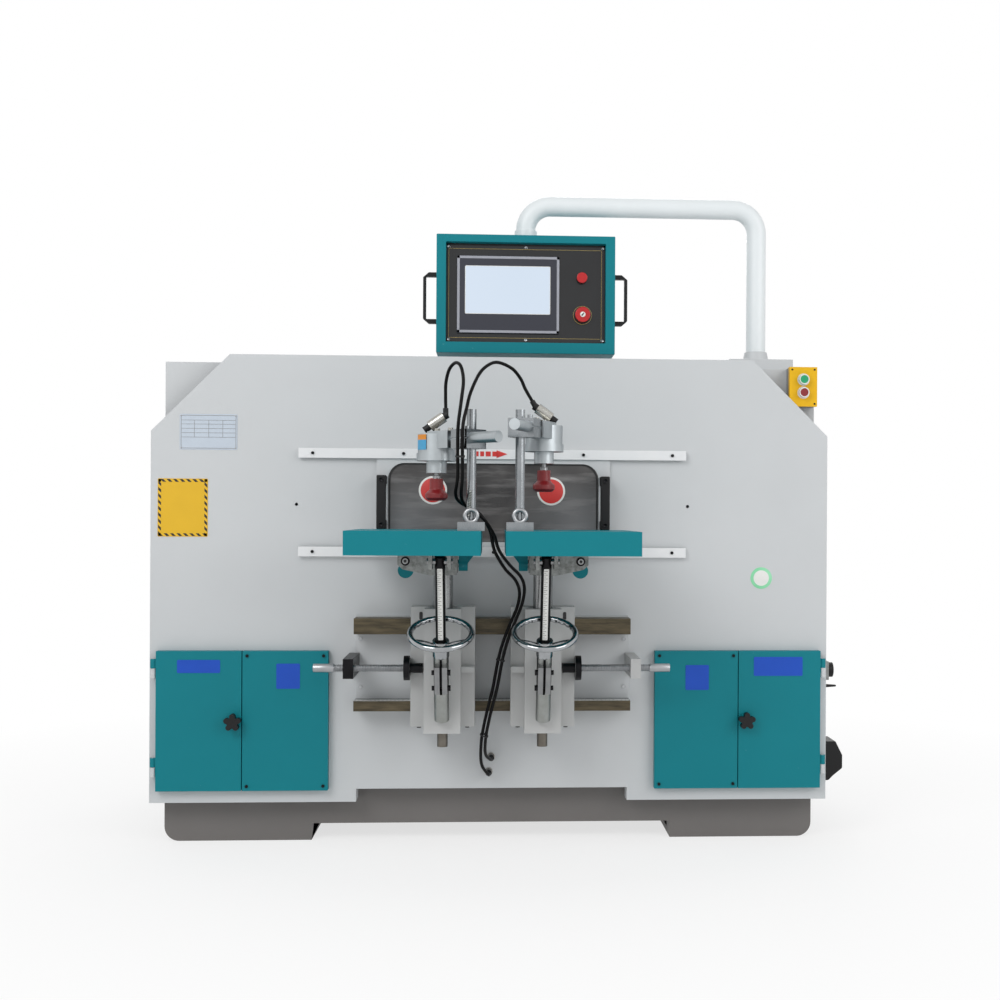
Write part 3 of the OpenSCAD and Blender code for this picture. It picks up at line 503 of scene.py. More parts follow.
def open_whole(piece):
    """Edit mode, with the whole mesh selected"""
    only(piece)
    bpy.ops.object.mode_set(mode="EDIT")
    bpy.ops.mesh.select_all(action="SELECT")


def dress(node, finish):
    """Give a CAD node its finish"""
    return finished(nodes[node], finish)


def softened(node, finish, edge):
    """A copy of a CAD node with its sharp edges rounded"""
    piece = linked(node + "_rounded", nodes[node].data.copy())
    bpy.ops.mesh.customdata_custom_splitnormals_clear()
    open_whole(piece)
    bpy.ops.mesh.remove_doubles(threshold=0.00002)
    bpy.ops.mesh.dissolve_limited(angle_limit=math.radians(0.5))
    bpy.ops.object.mode_set(mode="OBJECT")
    rounded_rims(piece, edge, 38)
    bpy.ops.object.shade_smooth_by_angle(angle=math.radians(32))
    apply_modifier(piece, "WEIGHTED_NORMAL", keep_sharp=True)
    finished(piece, finish)
    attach(piece, body_of[node])
    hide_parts(node)
    return piece


def paint(piece, finish, test):
    """Give another finish to the faces whose middle, in millimetres, passes a test"""
    piece.data.materials.append(finish)
    number = len(piece.data.materials) - 1
    for face in piece.data.polygons:
        if test(face.center / MM, face.normal):
            face.material_index = number


# %% [markdown]
# The cabinet is folded sheet and a welded base under light grey enamel, with teal doors and panels.

# %% Cabinet
for node, finish, edge in (
        ("base_frame", base_enamel, 3), ("front_plate", cabinet_enamel, 1.2),
        ("rear_housing", cabinet_enamel, 1.5), ("guide_plate", cabinet_enamel, 1),
        ("guard_rails", anodised, 0.8), ("arm_pedestal", cabinet_enamel, 3),
        ("fixed_panels", teal_enamel, 1.2), ("left_door", teal_enamel, 1.2),
        ("right_door", teal_enamel, 1.2), ("left_door_knob", black_plastic, 1.5),
        ("right_door_knob", black_plastic, 1.5), ("guard_handles", black_plastic, 3)):
    softened(node, finish, edge)
for node, finish in (("dust_hood", base_enamel), ("cross_bed", casting_enamel),
                     ("x_servo_motor", black_oxide), ("x_saddle", casting_enamel),
                     ("spindle_unit", ground_steel), ("cutter_head", ground_steel)):
    dress(node, finish)

# %% Finishes on parts of the cabinet
hinge_x, rail_screw_front, rail_screw_back, rail_low = 840, -508, -503, 735
panel_inner, panel_outer, panel_top = 400, 640, 500
between_bars, pane_sight = 400, -494

fasteners = dress("cabinet_fasteners", zinc_steel)
paint(fasteners, cabinet_enamel, lambda at, way: abs(at.x) > hinge_x)
paint(fasteners, black_oxide, lambda at, way: (
    rail_screw_front < at.y < rail_screw_back and at.z > rail_low))
paint(fasteners, black_oxide, lambda at, way: (
    panel_inner < abs(at.x) < panel_outer and at.z < panel_top))
bars = softened("guide_bars", oily_steel, 1)
paint(bars, column_steel, lambda at, way: way.z > 0.7 and at.z < between_bars)
guard = dress("guard_panel", cabinet_enamel)
paint(guard, pane_plastic, lambda at, way: way.y < -0.5 and at.y > pane_sight)

# %% [markdown]
# Nuts, air unit, power inlet and the hose bulkhead are bought parts, each in its own metal or plastic.

# %% Bought parts on the cabinet
bowl_top, gauge_back, elbow_back = 400, 910.5, -502.5

screw_nuts = softened("screw_nuts", casting_enamel, 2)
paint(screw_nuts, black_oxide, lambda at, way: at.x < 0)
air_unit = softened("air_unit", cast_aluminium, 2)
paint(air_unit, grey_plastic, lambda at, way: at.z < bowl_top)
paint(air_unit, black_plastic, lambda at, way: at.x > gauge_back)
softened("power_inlet", black_plastic, 3)
dress("regulator_knob", black_plastic)
bulkhead = dress("hose_bulkhead", nickel)
paint(bulkhead, black_plastic, lambda at, way: at.y < elbow_back)

# %% [markdown]
# The pendant is a teal box with a black fascia. The panel, the buttons and the grab handles are bought.

# %% Pendant and buttons
socket_height, lid_back, lid_front = 23.5, -457, -474.4

pendant_case = softened("pendant_case", teal_enamel, 2)
socket_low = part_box("pendant_case")[1].z / MM - socket_height
paint(pendant_case, tube_enamel, lambda at, way: at.z > socket_low)
softened("pendant_handles", black_plastic, 1.5)
dress("pendant_arm", tube_enamel)
dress("pendant_fascia", black_panel)
softened("touch_screen", slate_plastic, 3)
for node in ("pendant_push_button", "pendant_stop_button"):
    softened(node, red_plastic, 1.5)
softened("stop_button", dark_red_plastic, 1.5)
softened("start_button", green_plastic, 1.5)
button_box = softened("button_box", yellow_plastic, 2.5)
paint(button_box, grey_plastic, lambda at, way: at.y > lid_back)
paint(button_box, white_plastic, lambda at, way: at.y < lid_front)

# %% [markdown]
# Each work station stacks a carriage on the guide bars, a dovetailed lift slide, a ground column with
# a cast head, and the tilting table. The two stations mirror each other.

# %% Stations
SIDES = (("left", -1), ("right", 1))
station_x, screw_axis = 123, Vector((0, -640, 467))
strut_lean, strut_foot = math.radians(25), Vector((0, -665, 345))
strut_way = Vector((0, -math.sin(strut_lean), math.cos(strut_lean)))
collar_x, cheek_x, screw_bore = 202.5, 171, 13
tube_radius, tube_end, tube_front = 19, 179, -656
clip_low, clip_high, clip_reach, clip_half, clip_front = 87, 167, 36, 15.5, -700
head_front, washer_front, bolt_front = -644, -656.5, -659
boss_x, boss_z, boss_radius, boss_front = 214, 706, 19.6, -646.5
ear_half, ear_back, ear_top, rod_half = 28, -780, 789, 12.2
eye_low, eye_high, eye_back, rubber_height = 826, 862, -883, 51


def strut_place(at, side):
    """Distance along the strut and away from its axis"""
    rel = Vector((at.x - side * station_x, at.y, at.z)) - strut_foot
    along = rel.dot(strut_way)
    return along, (rel - along * strut_way).length


def dress_station(name, side):
    def off_middle(at):
        return abs(at.x - side * station_x)

    def in_clip(at):
        return clip_low < strut_place(at, side)[0] < clip_high and at.y < clip_front

    carriage = softened(name + "_carriage", casting_enamel, 1.2)
    paint(carriage, black_oxide, lambda at, way: (
        side * at.x > collar_x or side * at.x > cheek_x and (at - screw_axis).yz.length < screw_bore))
    slide = softened(name + "_lift_slide", casting_enamel, 1)
    paint(slide, galvanised, lambda at, way: (
        strut_place(at, side)[1] < tube_radius and at.y < tube_front and strut_place(at, side)[0] < tube_end))
    paint(slide, ground_steel, lambda at, way: (
        in_clip(at) and tube_radius <= strut_place(at, side)[1] < clip_reach and off_middle(at) < clip_half))
    paint(slide, black_oxide, lambda at, way: in_clip(at) and off_middle(at) > clip_half)
    dress(name + "_lift_screw", oily_thread)
    head = softened(name + "_column_head", column_steel, 1)
    paint(head, raw_casting, lambda at, way: washer_front < at.y < head_front)
    paint(head, black_oxide, lambda at, way: bolt_front < at.y < washer_front)
    paint(head, teal_enamel, lambda at, way: (
        at.y > boss_front and math.hypot(side * at.x - boss_x, at.z - boss_z) < boss_radius))
    table = softened(name + "_table", teal_enamel, 2)
    paint(table, raw_casting, lambda at, way: (
        off_middle(at) < ear_half and at.y < ear_back and at.z < ear_top))
    rod = dress(name + "_strut_rod", black_oxide)
    paint(rod, ground_steel, lambda at, way: off_middle(at) > rod_half)
    stand = softened(name + "_clamp_stand", drawn_post, 1)
    paint(stand, zinc_steel, lambda at, way: eye_low < at.z < eye_high and at.y < eye_back)
    cylinder = softened(name + "_clamp_cylinder", turned_aluminium, 1)
    foot = softened(name + "_clamp_foot", red_rubber, 1)
    rubber_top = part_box(name + "_clamp_foot")[0].z / MM + rubber_height
    paint(foot, ground_steel, lambda at, way: at.z > rubber_top)
    return cylinder


cylinders = {name: dress_station(name, side) for name, side in SIDES}

# %% [markdown]
# Each air cylinder has a bought flow valve on top: a nickel body leaning inwards, with a black elbow
# for the hose at its upper end and a blue release ring at the lower one.

# %% Flow valves on the cylinders
valve_lean = math.radians(55)
valve_drop, valve_half, release_ring = 29.5, 19.8, -35.5
for name, side, middle in (("left", -1, (-133, -810.6, 1059)), ("right", 1, (118.8, -755.2, 1085))):
    valve_way = Vector((-side * math.sin(valve_lean), 0, math.cos(valve_lean)))

    def valve_place(at, middle=Vector(middle), way=valve_way):
        return (at - middle).dot(way)

    cap = middle[2] - valve_drop
    paint(cylinders[name], nickel, lambda at, way: at.z > cap)
    paint(cylinders[name], black_plastic, lambda at, way: at.z > cap and abs(valve_place(at)) > valve_half)
    paint(cylinders[name], blue_plastic, lambda at, way: at.z > cap and valve_place(at) < release_ring)

# %% [markdown]
# New pieces start from a primitive and are shaped in edit mode. Three helpers cover most of them: a
# block with rounded edges, a disc with rounded rims along any axis, and a ring. Another names a piece,
# puts its place in its mesh, and lets it ride on the body that carries it.


# %% Making and seating pieces
FRONT, BACK, RIGHT, UP, DOWN = (0, -1, 0), (0, 1, 0), (1, 0, 0), (0, 0, 1), (0, 0, -1)


def fresh(primitive, rims=0, **settings):
    """A primitive added with nothing else selected, its rims rounded and its place put in its mesh"""
    bpy.ops.object.select_all(action="DESELECT")
    primitive(**settings)
    piece = bpy.context.object
    if rims:
        rounded_rims(piece, rims)
    bpy.ops.object.transform_apply()
    return piece


def block(lo, hi, edge, turns=2):
    """A rounded box between two corners, in millimetres"""
    lo, hi = Vector(lo) * MM, Vector(hi) * MM
    piece = fresh(bpy.ops.mesh.primitive_cube_add, size=1, location=(lo + hi) / 2, scale=hi - lo)
    open_whole(piece)
    bpy.ops.mesh.bevel(offset=edge * MM, segments=turns, affect="EDGES")
    bpy.ops.object.mode_set(mode="OBJECT")
    return piece


def disc(centre, way, radius, depth, edge, sides=40):
    """A round piece with softened rims; centre is the middle of its length, in millimetres"""
    turn = Vector(way).to_track_quat("Z", "Y").to_euler()
    return fresh(bpy.ops.mesh.primitive_cylinder_add, edge, vertices=sides, radius=radius * MM,
                 depth=depth * MM, location=Vector(centre) * MM, rotation=turn)


def ring(centre, radius, thickness, around, across, upright=True):
    """A round bar bent to a ring that faces the front, or lies flat; its thickness is the bar's radius"""
    return fresh(bpy.ops.mesh.primitive_torus_add, major_radius=radius * MM, minor_radius=thickness * MM,
                 major_segments=around, minor_segments=across, location=Vector(centre) * MM,
                 rotation=(math.pi / 2 if upright else 0, 0, 0))


def joined(pieces):
    """Several pieces of one finish as one"""
    only(pieces[0])
    for piece in pieces:
        piece.select_set(True)
    bpy.ops.object.join()
    return bpy.context.object


def seated(piece, name, finish, body):
    """Name a piece, give it its finish, and let it ride on a body unless it already bends between two"""
    only(piece)
    bpy.ops.object.transform_apply()
    bpy.ops.object.shade_smooth_by_angle(angle=math.radians(35))
    piece.name = piece.data.name = name
    finished(piece, finish)
    if "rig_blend" not in piece:
        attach(piece, body)
    return piece


# %% [markdown]
# A handwheel is cast, turned and chromed. Its rim has finger hollows round the underside, so the
# torus is pushed in by a cosine of the angle, strongest below. Three dished spokes run into a hub.

# %% Handwheels
rim_radius, rim_round, wheel_along = 72.5, 7.5, 239
finger_hollows, hollow_depth = 24, 1.6
hub_radius, bore_radius, hub_low, hub_high = 20, 12.4, 178.4, 221
wheel_dish, dish_bend, spoke_cuts, spoke_radius = 26, 1.4, 7, 7
spoke_flatness, spoke_angles = 0.66, (90, 210, 330)


def wheel_rim():
    rim = ring((0, 0, 0), rim_radius, rim_round, 144, 20, upright=False)
    for vertex in rim.data.vertices:
        angle = math.atan2(vertex.co.y, vertex.co.x)
        middle = Vector((math.cos(angle), math.sin(angle), 0)) * rim_radius * MM
        out = vertex.co - middle
        inner = max(0, -out.normalized().dot(middle.normalized()) * 0.8 - 0.6 * out.normalized().z)
        depth = hollow_depth * MM * inner * (0.5 + 0.5 * math.cos(finger_hollows * angle))
        vertex.co = middle + out * (1 - depth / out.length)
    return rim


def wheel_spoke(angle):
    """A tapered bar from hub to rim, dished towards the middle"""
    length = rim_radius - hub_radius + 4
    spoke = fresh(bpy.ops.mesh.primitive_cylinder_add, vertices=20, radius=spoke_radius * MM,
                  depth=length * MM, location=(0, 0, 0), rotation=(0, math.pi / 2, 0))
    bpy.ops.object.mode_set(mode="EDIT")
    for cut in range(1, spoke_cuts + 1):
        bpy.ops.mesh.select_all(action="SELECT")
        at = (cut / (spoke_cuts + 1) - 0.5) * length * MM
        bpy.ops.mesh.bisect(plane_co=(at, 0, 0), plane_no=(1, 0, 0))
    bpy.ops.object.mode_set(mode="OBJECT")
    for vertex in spoke.data.vertices:
        share = vertex.co.x / (length * MM) + 0.5
        vertex.co.y *= 1.5 - 2.4 * share * (1 - share)
        vertex.co.z = spoke_flatness * vertex.co.z - wheel_dish * (1 - share) ** dish_bend * MM
    bpy.ops.transform.translate(value=((hub_radius - 2 + length / 2) * MM, 0, 0))
    bpy.ops.object.transform_apply()
    spoke.data.transform(Matrix.Rotation(angle, 4, "Z"))
    return spoke


def wheel_hub():
    """A tube with softened rims: a ring of faces, extruded, then given its wall"""
    hub = fresh(bpy.ops.mesh.primitive_circle_add, vertices=48, radius=hub_radius * MM,
                fill_type="NOTHING", location=(0, 0, (hub_low - wheel_along) * MM))
    open_whole(hub)
    bpy.ops.mesh.extrude_region_move(TRANSFORM_OT_translate={"value": (0, 0, (hub_high - hub_low) * MM)})
    bpy.ops.mesh.select_all(action="SELECT")
    bpy.ops.mesh.normals_make_consistent(inside=False)
    bpy.ops.object.mode_set(mode="OBJECT")
    apply_modifier(hub, "SOLIDIFY", thickness=(hub_radius - bore_radius) * MM, offset=-1)
    rounded_rims(hub, 1.5)
    return hub


for name, side in SIDES:
    wheel = joined([wheel_rim(), wheel_hub()] + [wheel_spoke(math.radians(a)) for a in spoke_angles])
    middle = (strut_foot + wheel_along * strut_way + Vector((side * station_x, 0, 0))) * MM
    wheel.data.transform(Matrix.Translation(middle) @ Matrix.Rotation(strut_lean, 4, "X"))
    seated(wheel, name + "_handwheel_cast", polished_chrome, name + "_wheel")
    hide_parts(name + "_handwheel")
print("handwheel faces", len(wheel.data.polygons))

# %% [markdown]
# The traverse screw is a threaded rod with plain ends. A screw modifier winds one tooth of thread along
# the axis, as a die does. The inner end is a little thinner than the thread and the outer one thicker.

# %% Traverse screws
thread_pitch, thread_crest, thread_root = 4, 9, 7.6
thread_start, thread_turns, screw_end = 186, 53, 437
inner_middle, inner_radius, inner_length = 180, 8.6, 14
outer_start, outer_radius = thread_start + thread_pitch * thread_turns - 12, 10.4


def threaded_rod():
    tooth = [(0, thread_root), (0.35, thread_crest), (0.55, thread_crest), (0.9, thread_root)]
    mesh = bpy.data.meshes.new("tooth")
    outline = [(thread_pitch * x * MM, 0, z * MM) for x, z in tooth + [(1, thread_root)]]
    mesh.from_pydata(outline, [(i, i + 1) for i in range(len(outline) - 1)], [])
    rod = linked("tooth", mesh)
    apply_modifier(rod, "SCREW", axis="X", screw_offset=thread_pitch * MM, iterations=thread_turns,
                   steps=24, render_steps=24, use_merge_vertices=True, merge_threshold=0.00001)
    open_whole(rod)
    bpy.ops.mesh.remove_doubles(threshold=0.00001)
    bpy.ops.mesh.normals_make_consistent(inside=False)
    bpy.ops.object.mode_set(mode="OBJECT")
    rod.data.transform(Matrix.Translation((thread_start * MM, 0, 0)))
    return rod


for name, side in SIDES:
    rod = joined([threaded_rod(), disc((inner_middle, 0, 0), RIGHT, inner_radius, inner_length, 1),
                  disc(((outer_start + screw_end) / 2, 0, 0), RIGHT, outer_radius,
                       screw_end - outer_start, 1.5)])
    turn = Matrix.Identity(4) if side > 0 else Matrix.Rotation(math.pi, 4, "Z")
    rod.data.transform(Matrix.Translation(screw_axis * MM) @ turn)
    seated(rod, name + "_traverse_thread", zinc_steel, name + "_lead_screw")
    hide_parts(name + "_lead_screw")

# %% [markdown]
# Thin plates, border lines and screws turn up all over the machine, so each has one helper. A plate is
# a cube flattened to a sheet, with the four edges along its thin side rounded. A screw is a turned disc
# whose top is inset and pushed down as a socket.


# %% Plates, borders and screws
def select_parts(piece, kind, test):
    """In edit mode, select the edges or faces of a mesh that pass a test"""
    only(piece)
    bpy.ops.object.mode_set(mode="EDIT")
    bpy.ops.mesh.select_mode(type=kind)
    bpy.ops.mesh.select_all(action="DESELECT")
    bpy.ops.object.mode_set(mode="OBJECT")
    for part in piece.data.edges if kind == "EDGE" else piece.data.polygons:
        part.select = test(part)
    bpy.ops.object.mode_set(mode="EDIT")


def plate(lo, hi, axis, corner):
    """A sheet between two corners, thin along one axis, with rounded corners"""
    piece = block(lo, hi, 0)
    at = piece.data.vertices

    def is_corner(edge):
        start, end = (at[v].co for v in edge.vertices)
        return abs((end - start).normalized()[axis]) > 0.9

    select_parts(piece, "EDGE", is_corner)
    bpy.ops.mesh.bevel(offset=corner * MM, segments=5, affect="EDGES")
    bpy.ops.object.mode_set(mode="OBJECT")
    return piece


def border(x0, x1, z0, z1, y, width, depth=0.4):
    """Four thin strips round a rectangle on a front face"""
    return joined([block((a, y - depth, c), (b, y, d), 0.1, 1) for a, b, c, d in (
        (x0, x1, z0, z0 + width), (x0, x1, z1 - width, z1),
        (x0, x0 + width, z0, z1), (x1 - width, x1, z0, z1))])


def screw(centre, way, radius, height):
    """A socket screw; centre is where its head meets the face, in millimetres"""
    centre, way = Vector(centre), Vector(way)
    edge, wall, socket_depth = radius * 0.12, radius * 0.45, height * 0.55
    head = disc(centre + way * height / 2, way, radius, height, edge, 24)
    select_parts(head, "FACE", lambda face: face.normal.dot(way) > 0.99)
    bpy.ops.mesh.inset(thickness=wall * MM)
    bpy.ops.transform.translate(value=-way * socket_depth * MM)
    bpy.ops.object.mode_set(mode="OBJECT")
    return head


def in_row(piece, count, step):
    """Repeat a piece along a step, in millimetres"""
    apply_modifier(piece, "ARRAY", count=count, use_relative_offset=False, use_constant_offset=True,
                   constant_offset_displace=Vector(step) * MM)
    return piece


# %% [markdown]
# The machine carries plates and discs in several colours, all of them plain: a ruled silver data plate
# with rivets, a yellow plate with a striped edge, blue plates on the doors, and round discs.

# %% Plain plates and discs
cabinet_front, door_front, pane_front, plate_corner = -490, -512, -493, 3
for name, (x0, x1, z0, z1), front, thick, finish, body, slot in (
        ("blank_data_plate", (-793, -649, 1004, 1094), cabinet_front, 1, silver_plate,
         "cabinet", "white_aluminium"),
        ("blank_yellow_plate", (-847, -722, 783.5, 930.5), cabinet_front, 0.8, yellow_plate,
         "cabinet", "yellow_plastic"),
        ("left_door_plate", (-792, -685, 441, 474), door_front, 0.8, blue_plate,
         "left_door", "yellow_plastic"),
        ("left_panel_plate", (-545, -486, 401, 464.5), door_front, 0.8, blue_plate,
         "cabinet", "yellow_plastic"),
        ("right_panel_plate", (494, 554.5, 396, 460), door_front, 0.8, blue_plate,
         "cabinet", "yellow_plastic"),
        ("right_door_plate", (671, 798, 432, 481), door_front, 0.8, blue_plate,
         "right_door", "yellow_plastic")):
    seated(plate((x0, front - thick, z0), (x1, front, z1), 1, plate_corner), name, finish, body)
data_front, rule_width = cabinet_front - 1, 0.9
rules = [border(-790, -652, 1007, 1091, data_front, 1.2)]
rules += [block((-788, data_front - 0.4, z), (-654, data_front, z + rule_width), 0.1, 1)
          for z in (1035, 1046, 1057, 1068, 1078)]
rules += [block((x, data_front - 0.4, 1035), (x + rule_width, data_front, 1078), 0.1, 1)
          for x in (-757, -721, -686)]
seated(joined(rules), "data_plate_rules", grey_plastic, "cabinet")
stripes = border(-845.5, -723.5, 785, 929, cabinet_front - 0.8, 7)
seated(stripes, "yellow_plate_edge", striped_plate, "cabinet")
rivets = [disc((x, data_front - 0.3, z), FRONT, 2.2, 1.4, 0.6, 16)
          for x in (-789, -653) for z in (1008, 1090)]
seated(joined(rivets), "data_plate_rivets", zinc_steel, "cabinet")
for name, (x, z), front, outer, inner, finish, body, slot in (
        ("green_disc", (693, 683), cabinet_front, 28, 20, green_plate, "cabinet", "green_plastic"),
        ("left_guard_disc", (-155, 905), pane_front, 36, 31, red_plate, "guard", "red_plastic"),
        ("right_guard_disc", (147, 904), pane_front, 36, 31, red_plate, "guard", "red_plastic")):
    rim = disc((x, front - 0.3, z), FRONT, outer, 0.6, 0.1, 64)
    middle = disc((x, front - 0.5, z), FRONT, inner, 1, 0.1, 64)
    pale, coloured = (rim, middle) if body == "guard" else (middle, rim)
    seated(pale, name + "_pale", white_plastic, body)
    seated(coloured, name, finish, body)

# %% [markdown]
# A dark seal frames the guard's pane at its sides and top. It is a plate with a smaller plate cut out.

# %% Pane seal
seal = plate((-266.5, pane_front - 1.4, 774), (266.5, pane_front, 973.5), 1, 41)
opening = plate((-263, pane_front - 4, 760), (263, pane_front + 3, 970), 1, 38)
apply_modifier(seal, "BOOLEAN", object=opening, operation="DIFFERENCE")
bpy.data.objects.remove(opening)
seated(seal, "pane_seal", black_rubber, "guard")

# %% [markdown]
# The left air cylinder has a small plain label in two colours. Each band is a part of a thin tube: the
# faces outside its arc are deleted and the rest gets its thickness.


# %% Cylinder label
def wrapped_label(axis, radius, low, high, first, last):
    """A strip on the front of an upright cylinder, between two angles from the front, in degrees"""
    strip = fresh(bpy.ops.mesh.primitive_cylinder_add, vertices=180, radius=radius * MM,
                  depth=(high - low) * MM, end_fill_type="NOTHING", location=(0, 0, (low + high) / 2 * MM))

    def outside(face):
        angle = math.degrees(math.atan2(face.center.x, -face.center.y))
        return not first < angle < last

    select_parts(strip, "FACE", outside)
    bpy.ops.mesh.delete(type="FACE")
    bpy.ops.object.mode_set(mode="OBJECT")
    apply_modifier(strip, "SOLIDIFY", thickness=0.3 * MM, offset=1)
    strip.data.transform(Matrix.Translation(Vector(axis) * MM))
    return strip


cylinder_axis, cylinder_radius = (-133, -810.6, 0), 45.6
for name, low, high, finish in (("cylinder_label", 992, 1015, sky_plate),
                                ("cylinder_label_top", 1015, 1027, orange_plate)):
    strip = wrapped_label(cylinder_axis, cylinder_radius, low, high, -70, -30)
    seated(strip, name, finish, "left_table")

# %% [markdown]
# A red arrow on the upper rail shows the feed: three dashes, a shaft and a head. The head is a
# three-sided disc, turned so that one corner points along the rail.

# %% Feed arrow
rail_front = -504
dashes = [block((a, rail_front - 0.6, 992), (b, rail_front, 1004.5), 0.2, 1)
          for a, b in ((-46, -39), (-35, -25), (-21, -8), (-4, 10))]
head = disc((0, rail_front - 0.3, 0), FRONT, 18.6, 0.6, 0.1, 3)
head.data.transform(Matrix.Translation((0.016, 0, 0.998)) @ Matrix.Scale(0.62, 4, (0, 0, 1))
                    @ Matrix.Rotation(math.radians(90), 4, "Y"))
seated(joined(dashes + [head]), "feed_arrow", red_plate, "cabinet")

# %% [markdown]
# The pendant's face: a pale display behind the operator panel's bezel, a bevelled rim round the bezel,
# a thin brass line round the fascia, a black strip round it that is painted shade of the gap at its edge,
# and six screws that hold the fascia. The stop button has a brass ring behind it and a turning mark on its
# cap.
# A cover closes the back.

# %% Pendant face
fascia_front, bezel_front, cover_back = -376, -382, -257.5
stop_x, stop_z, stop_base, stop_cap = 232, 1373, -379.3, -399.2
for piece, name, finish, slot in (
        (plate((-77, bezel_front - 0.5, 1374.5), (145, bezel_front, 1498.5), 1, 1),
         "display", display_glass, "black_panel"),
        (border(-78.5, 146.5, 1373, 1500, bezel_front, 1.5, 0.7),
         "display_edge", white_plastic, "white_aluminium"),
        (border(-99, 170, 1323.5, 1525.5, bezel_front, 6.5, 0.8),
         "bezel_line", pale_bezel, "white_aluminium"),
        (border(-122, 283, 1310, 1546, fascia_front, 1.2, 0.3),
         "fascia_line", brass_line, "yellow_plastic"),
        # The black strip round the fascia is painted shade of the gap between the fascia and its frame.
        (border(-127.5, 291.5, 1297.5, 1558.5, fascia_front, 4, 0.6),
         "fascia_gap_shade", black_rubber, "black_panel"),
        (joined([screw((x, fascia_front, z), FRONT, 4, 2) for x in (-121, 82, 285) for z in (1306, 1550)]),
         "fascia_screws", zinc_steel, "zinc_steel"),
        (plate((-125, cover_back - 2.5, 1292), (289, cover_back, 1552), 1, 10),
         "pendant_cover", teal_enamel, "teal_paint"),
        (ring((stop_x, stop_base, stop_z), 24, 0.8, 64, 8), "stop_ring", brass_line, "yellow_plastic")):
    seated(piece, name, finish, "pendant")

# %% Stop button's mark and pendant back
seated(disc((stop_x, stop_cap, stop_z), FRONT, 7, 0.6, 0.1, 32), "stop_mark", white_plastic,
       "pendant_stop")
marker = block((-1.6, -0.4, -4.6), (1.6, 0.4, 4.6), 0.15, 1)
marker.data.transform(Matrix.Translation(Vector((stop_x, stop_cap - 0.4, stop_z)) * MM)
                      @ Matrix.Rotation(0.7, 4, "Y"))
seated(marker, "stop_mark_line", ink, "pendant_stop")
cover_screws = [screw((x, cover_back, z), BACK, 4.5, 2.5) for x in (-112, 276) for z in (1305, 1539)]
seated(joined(cover_screws), "cover_screws", zinc_steel, "pendant")
# Black strips on the cover are painted shade standing for its vent slots.
vent_shade = [in_row(block((x, cover_back - 0.1, 1330), (x + 90, cover_back + 0.7, 1335), 0.3, 1), 7, (0, 0, 12))
         for x in (-60, 134)]
seated(joined(vent_shade), "cover_vents", ink, "pendant")

# %% [markdown]
# Screws hold the guard handles and the button box, and a pale rim frames each of the box's buttons.
# They are small, but without them the black bars and the yellow box look like blocks.

# %% Screws and rims on guard and button box
handle_front, box_front = -537.5, -474
guard_screws = [screw((x, handle_front, z), FRONT, 6, 3) for x in (-283, 283) for z in (817, 930)]
seated(joined(guard_screws), "guard_handle_screws", black_oxide, "guard")
for name, z in (("start", 1200), ("stop", 1166)):
    rim = ring((804.5, box_front - 13, z), 11.9, 1.5, 48, 10)
    seated(rim, name + "_button_rim", white_plastic, name)
box_screws = [screw((x, box_front, z), FRONT, 2.4, 1.4) for x in (775, 834) for z in (1137, 1226)]
seated(joined(box_screws), "button_box_screws", black_oxide, "cabinet")

# %% [markdown]
# The strut's milled flat holds a white scale with a tick each five millimetres, and the lower guide
# bar has a longer one on its top. One tick is modelled and repeated along the scale.

# %% Scales
flat_front, strip_front, tick_front, first_tick, tick_end = -9.5, -10.1, -10.3, 230, 230.8
for name, side in SIDES:
    foot = (strut_foot + Vector((side * station_x, 0, 0))) * MM
    on_strut = Matrix.Translation(foot) @ Matrix.Rotation(strut_lean, 4, "X")
    strip = plate((-6, strip_front, 227), (6, flat_front, 416), 1, 2)
    ticks = joined([in_row(block((near, tick_front, first_tick), (far, strip_front, tick_end), 0.05, 1),
                           count, (0, 0, step))
                    for near, far, count, step in ((-5.5, -1, 37, 5), (-1, 3, 19, 10))])
    for piece, label, finish, slot in ((strip, "_strut_scale", white_plastic, "white_aluminium"),
                                       (ticks, "_strut_ticks", ink, "black_panel")):
        piece.data.transform(on_strut)
        seated(piece, name + label, finish, name + "_strut")
strip_top = 375.6
bar_strip = plate((-346, -553, strip_top - 0.6), (346, -533, strip_top), 2, 1)
seated(bar_strip, "bar_scale", white_plastic, "cabinet")
bar_ticks = [in_row(block((-345, near, strip_top), (-344, far, strip_top + 0.2), 0.05, 1),
                    count, (step, 0, 0))
             for near, far, count, step in ((-552.5, -545, 70, 10), (-545, -540, 14, 50))]
seated(joined(bar_ticks), "bar_ticks", ink, "cabinet")

# %% [markdown]
# Small bolts under each carriage lock its gib, and a black plate at the upper outer corner of the cheek is
# painted shade in the slot for its key. Two black discs on each column head are painted shade in the sockets
# of its bolts.

# %% Gib bolts, and painted shade in sockets and slots
socket_y, socket_z, gib_y, gib_z = -665.2, 729, -572, 320
for name, side in SIDES:
    middle = side * station_x
    # Black discs: painted shade in the sockets of the head bolts.
    socket_shade = [disc((middle + side * x, socket_y, socket_z), FRONT, 4, 0.6, 0.1, 6) for x in (-3, 91)]
    seated(joined(socket_shade), name + "_head_sockets", ink, name + "_lift")
    bolts = [disc((middle + x, gib_y, gib_z - height / 2), DOWN, radius, height, 0.6, sides)
             for x in (-60, 60) for radius, height, sides in ((8, 2, 32), (6, 9, 6))]
    seated(joined(bolts), name + "_gib_bolts", black_oxide, name + "_carriage")
    slot_x = middle + side * 54
    # A black plate: painted shade in the key slot of the cheek.
    slot_shade_plate = plate((slot_x - 4.2, -620.6, 584), (slot_x + 4.2, -619.5, 603), 1, 3)
    seated(slot_shade_plate, name + "_cheek_slot_shade", ink, name + "_carriage")

# %% [markdown]
# Ties hold the two hoses together. A tie is an oval band round both, bent by the same blend as the hose
# section it sits on, so it stays on the hoses when the tables move.


# %% Hose ties
tie_radius, tie_width, tie_thickness = 4.6, 3.6, 1.1


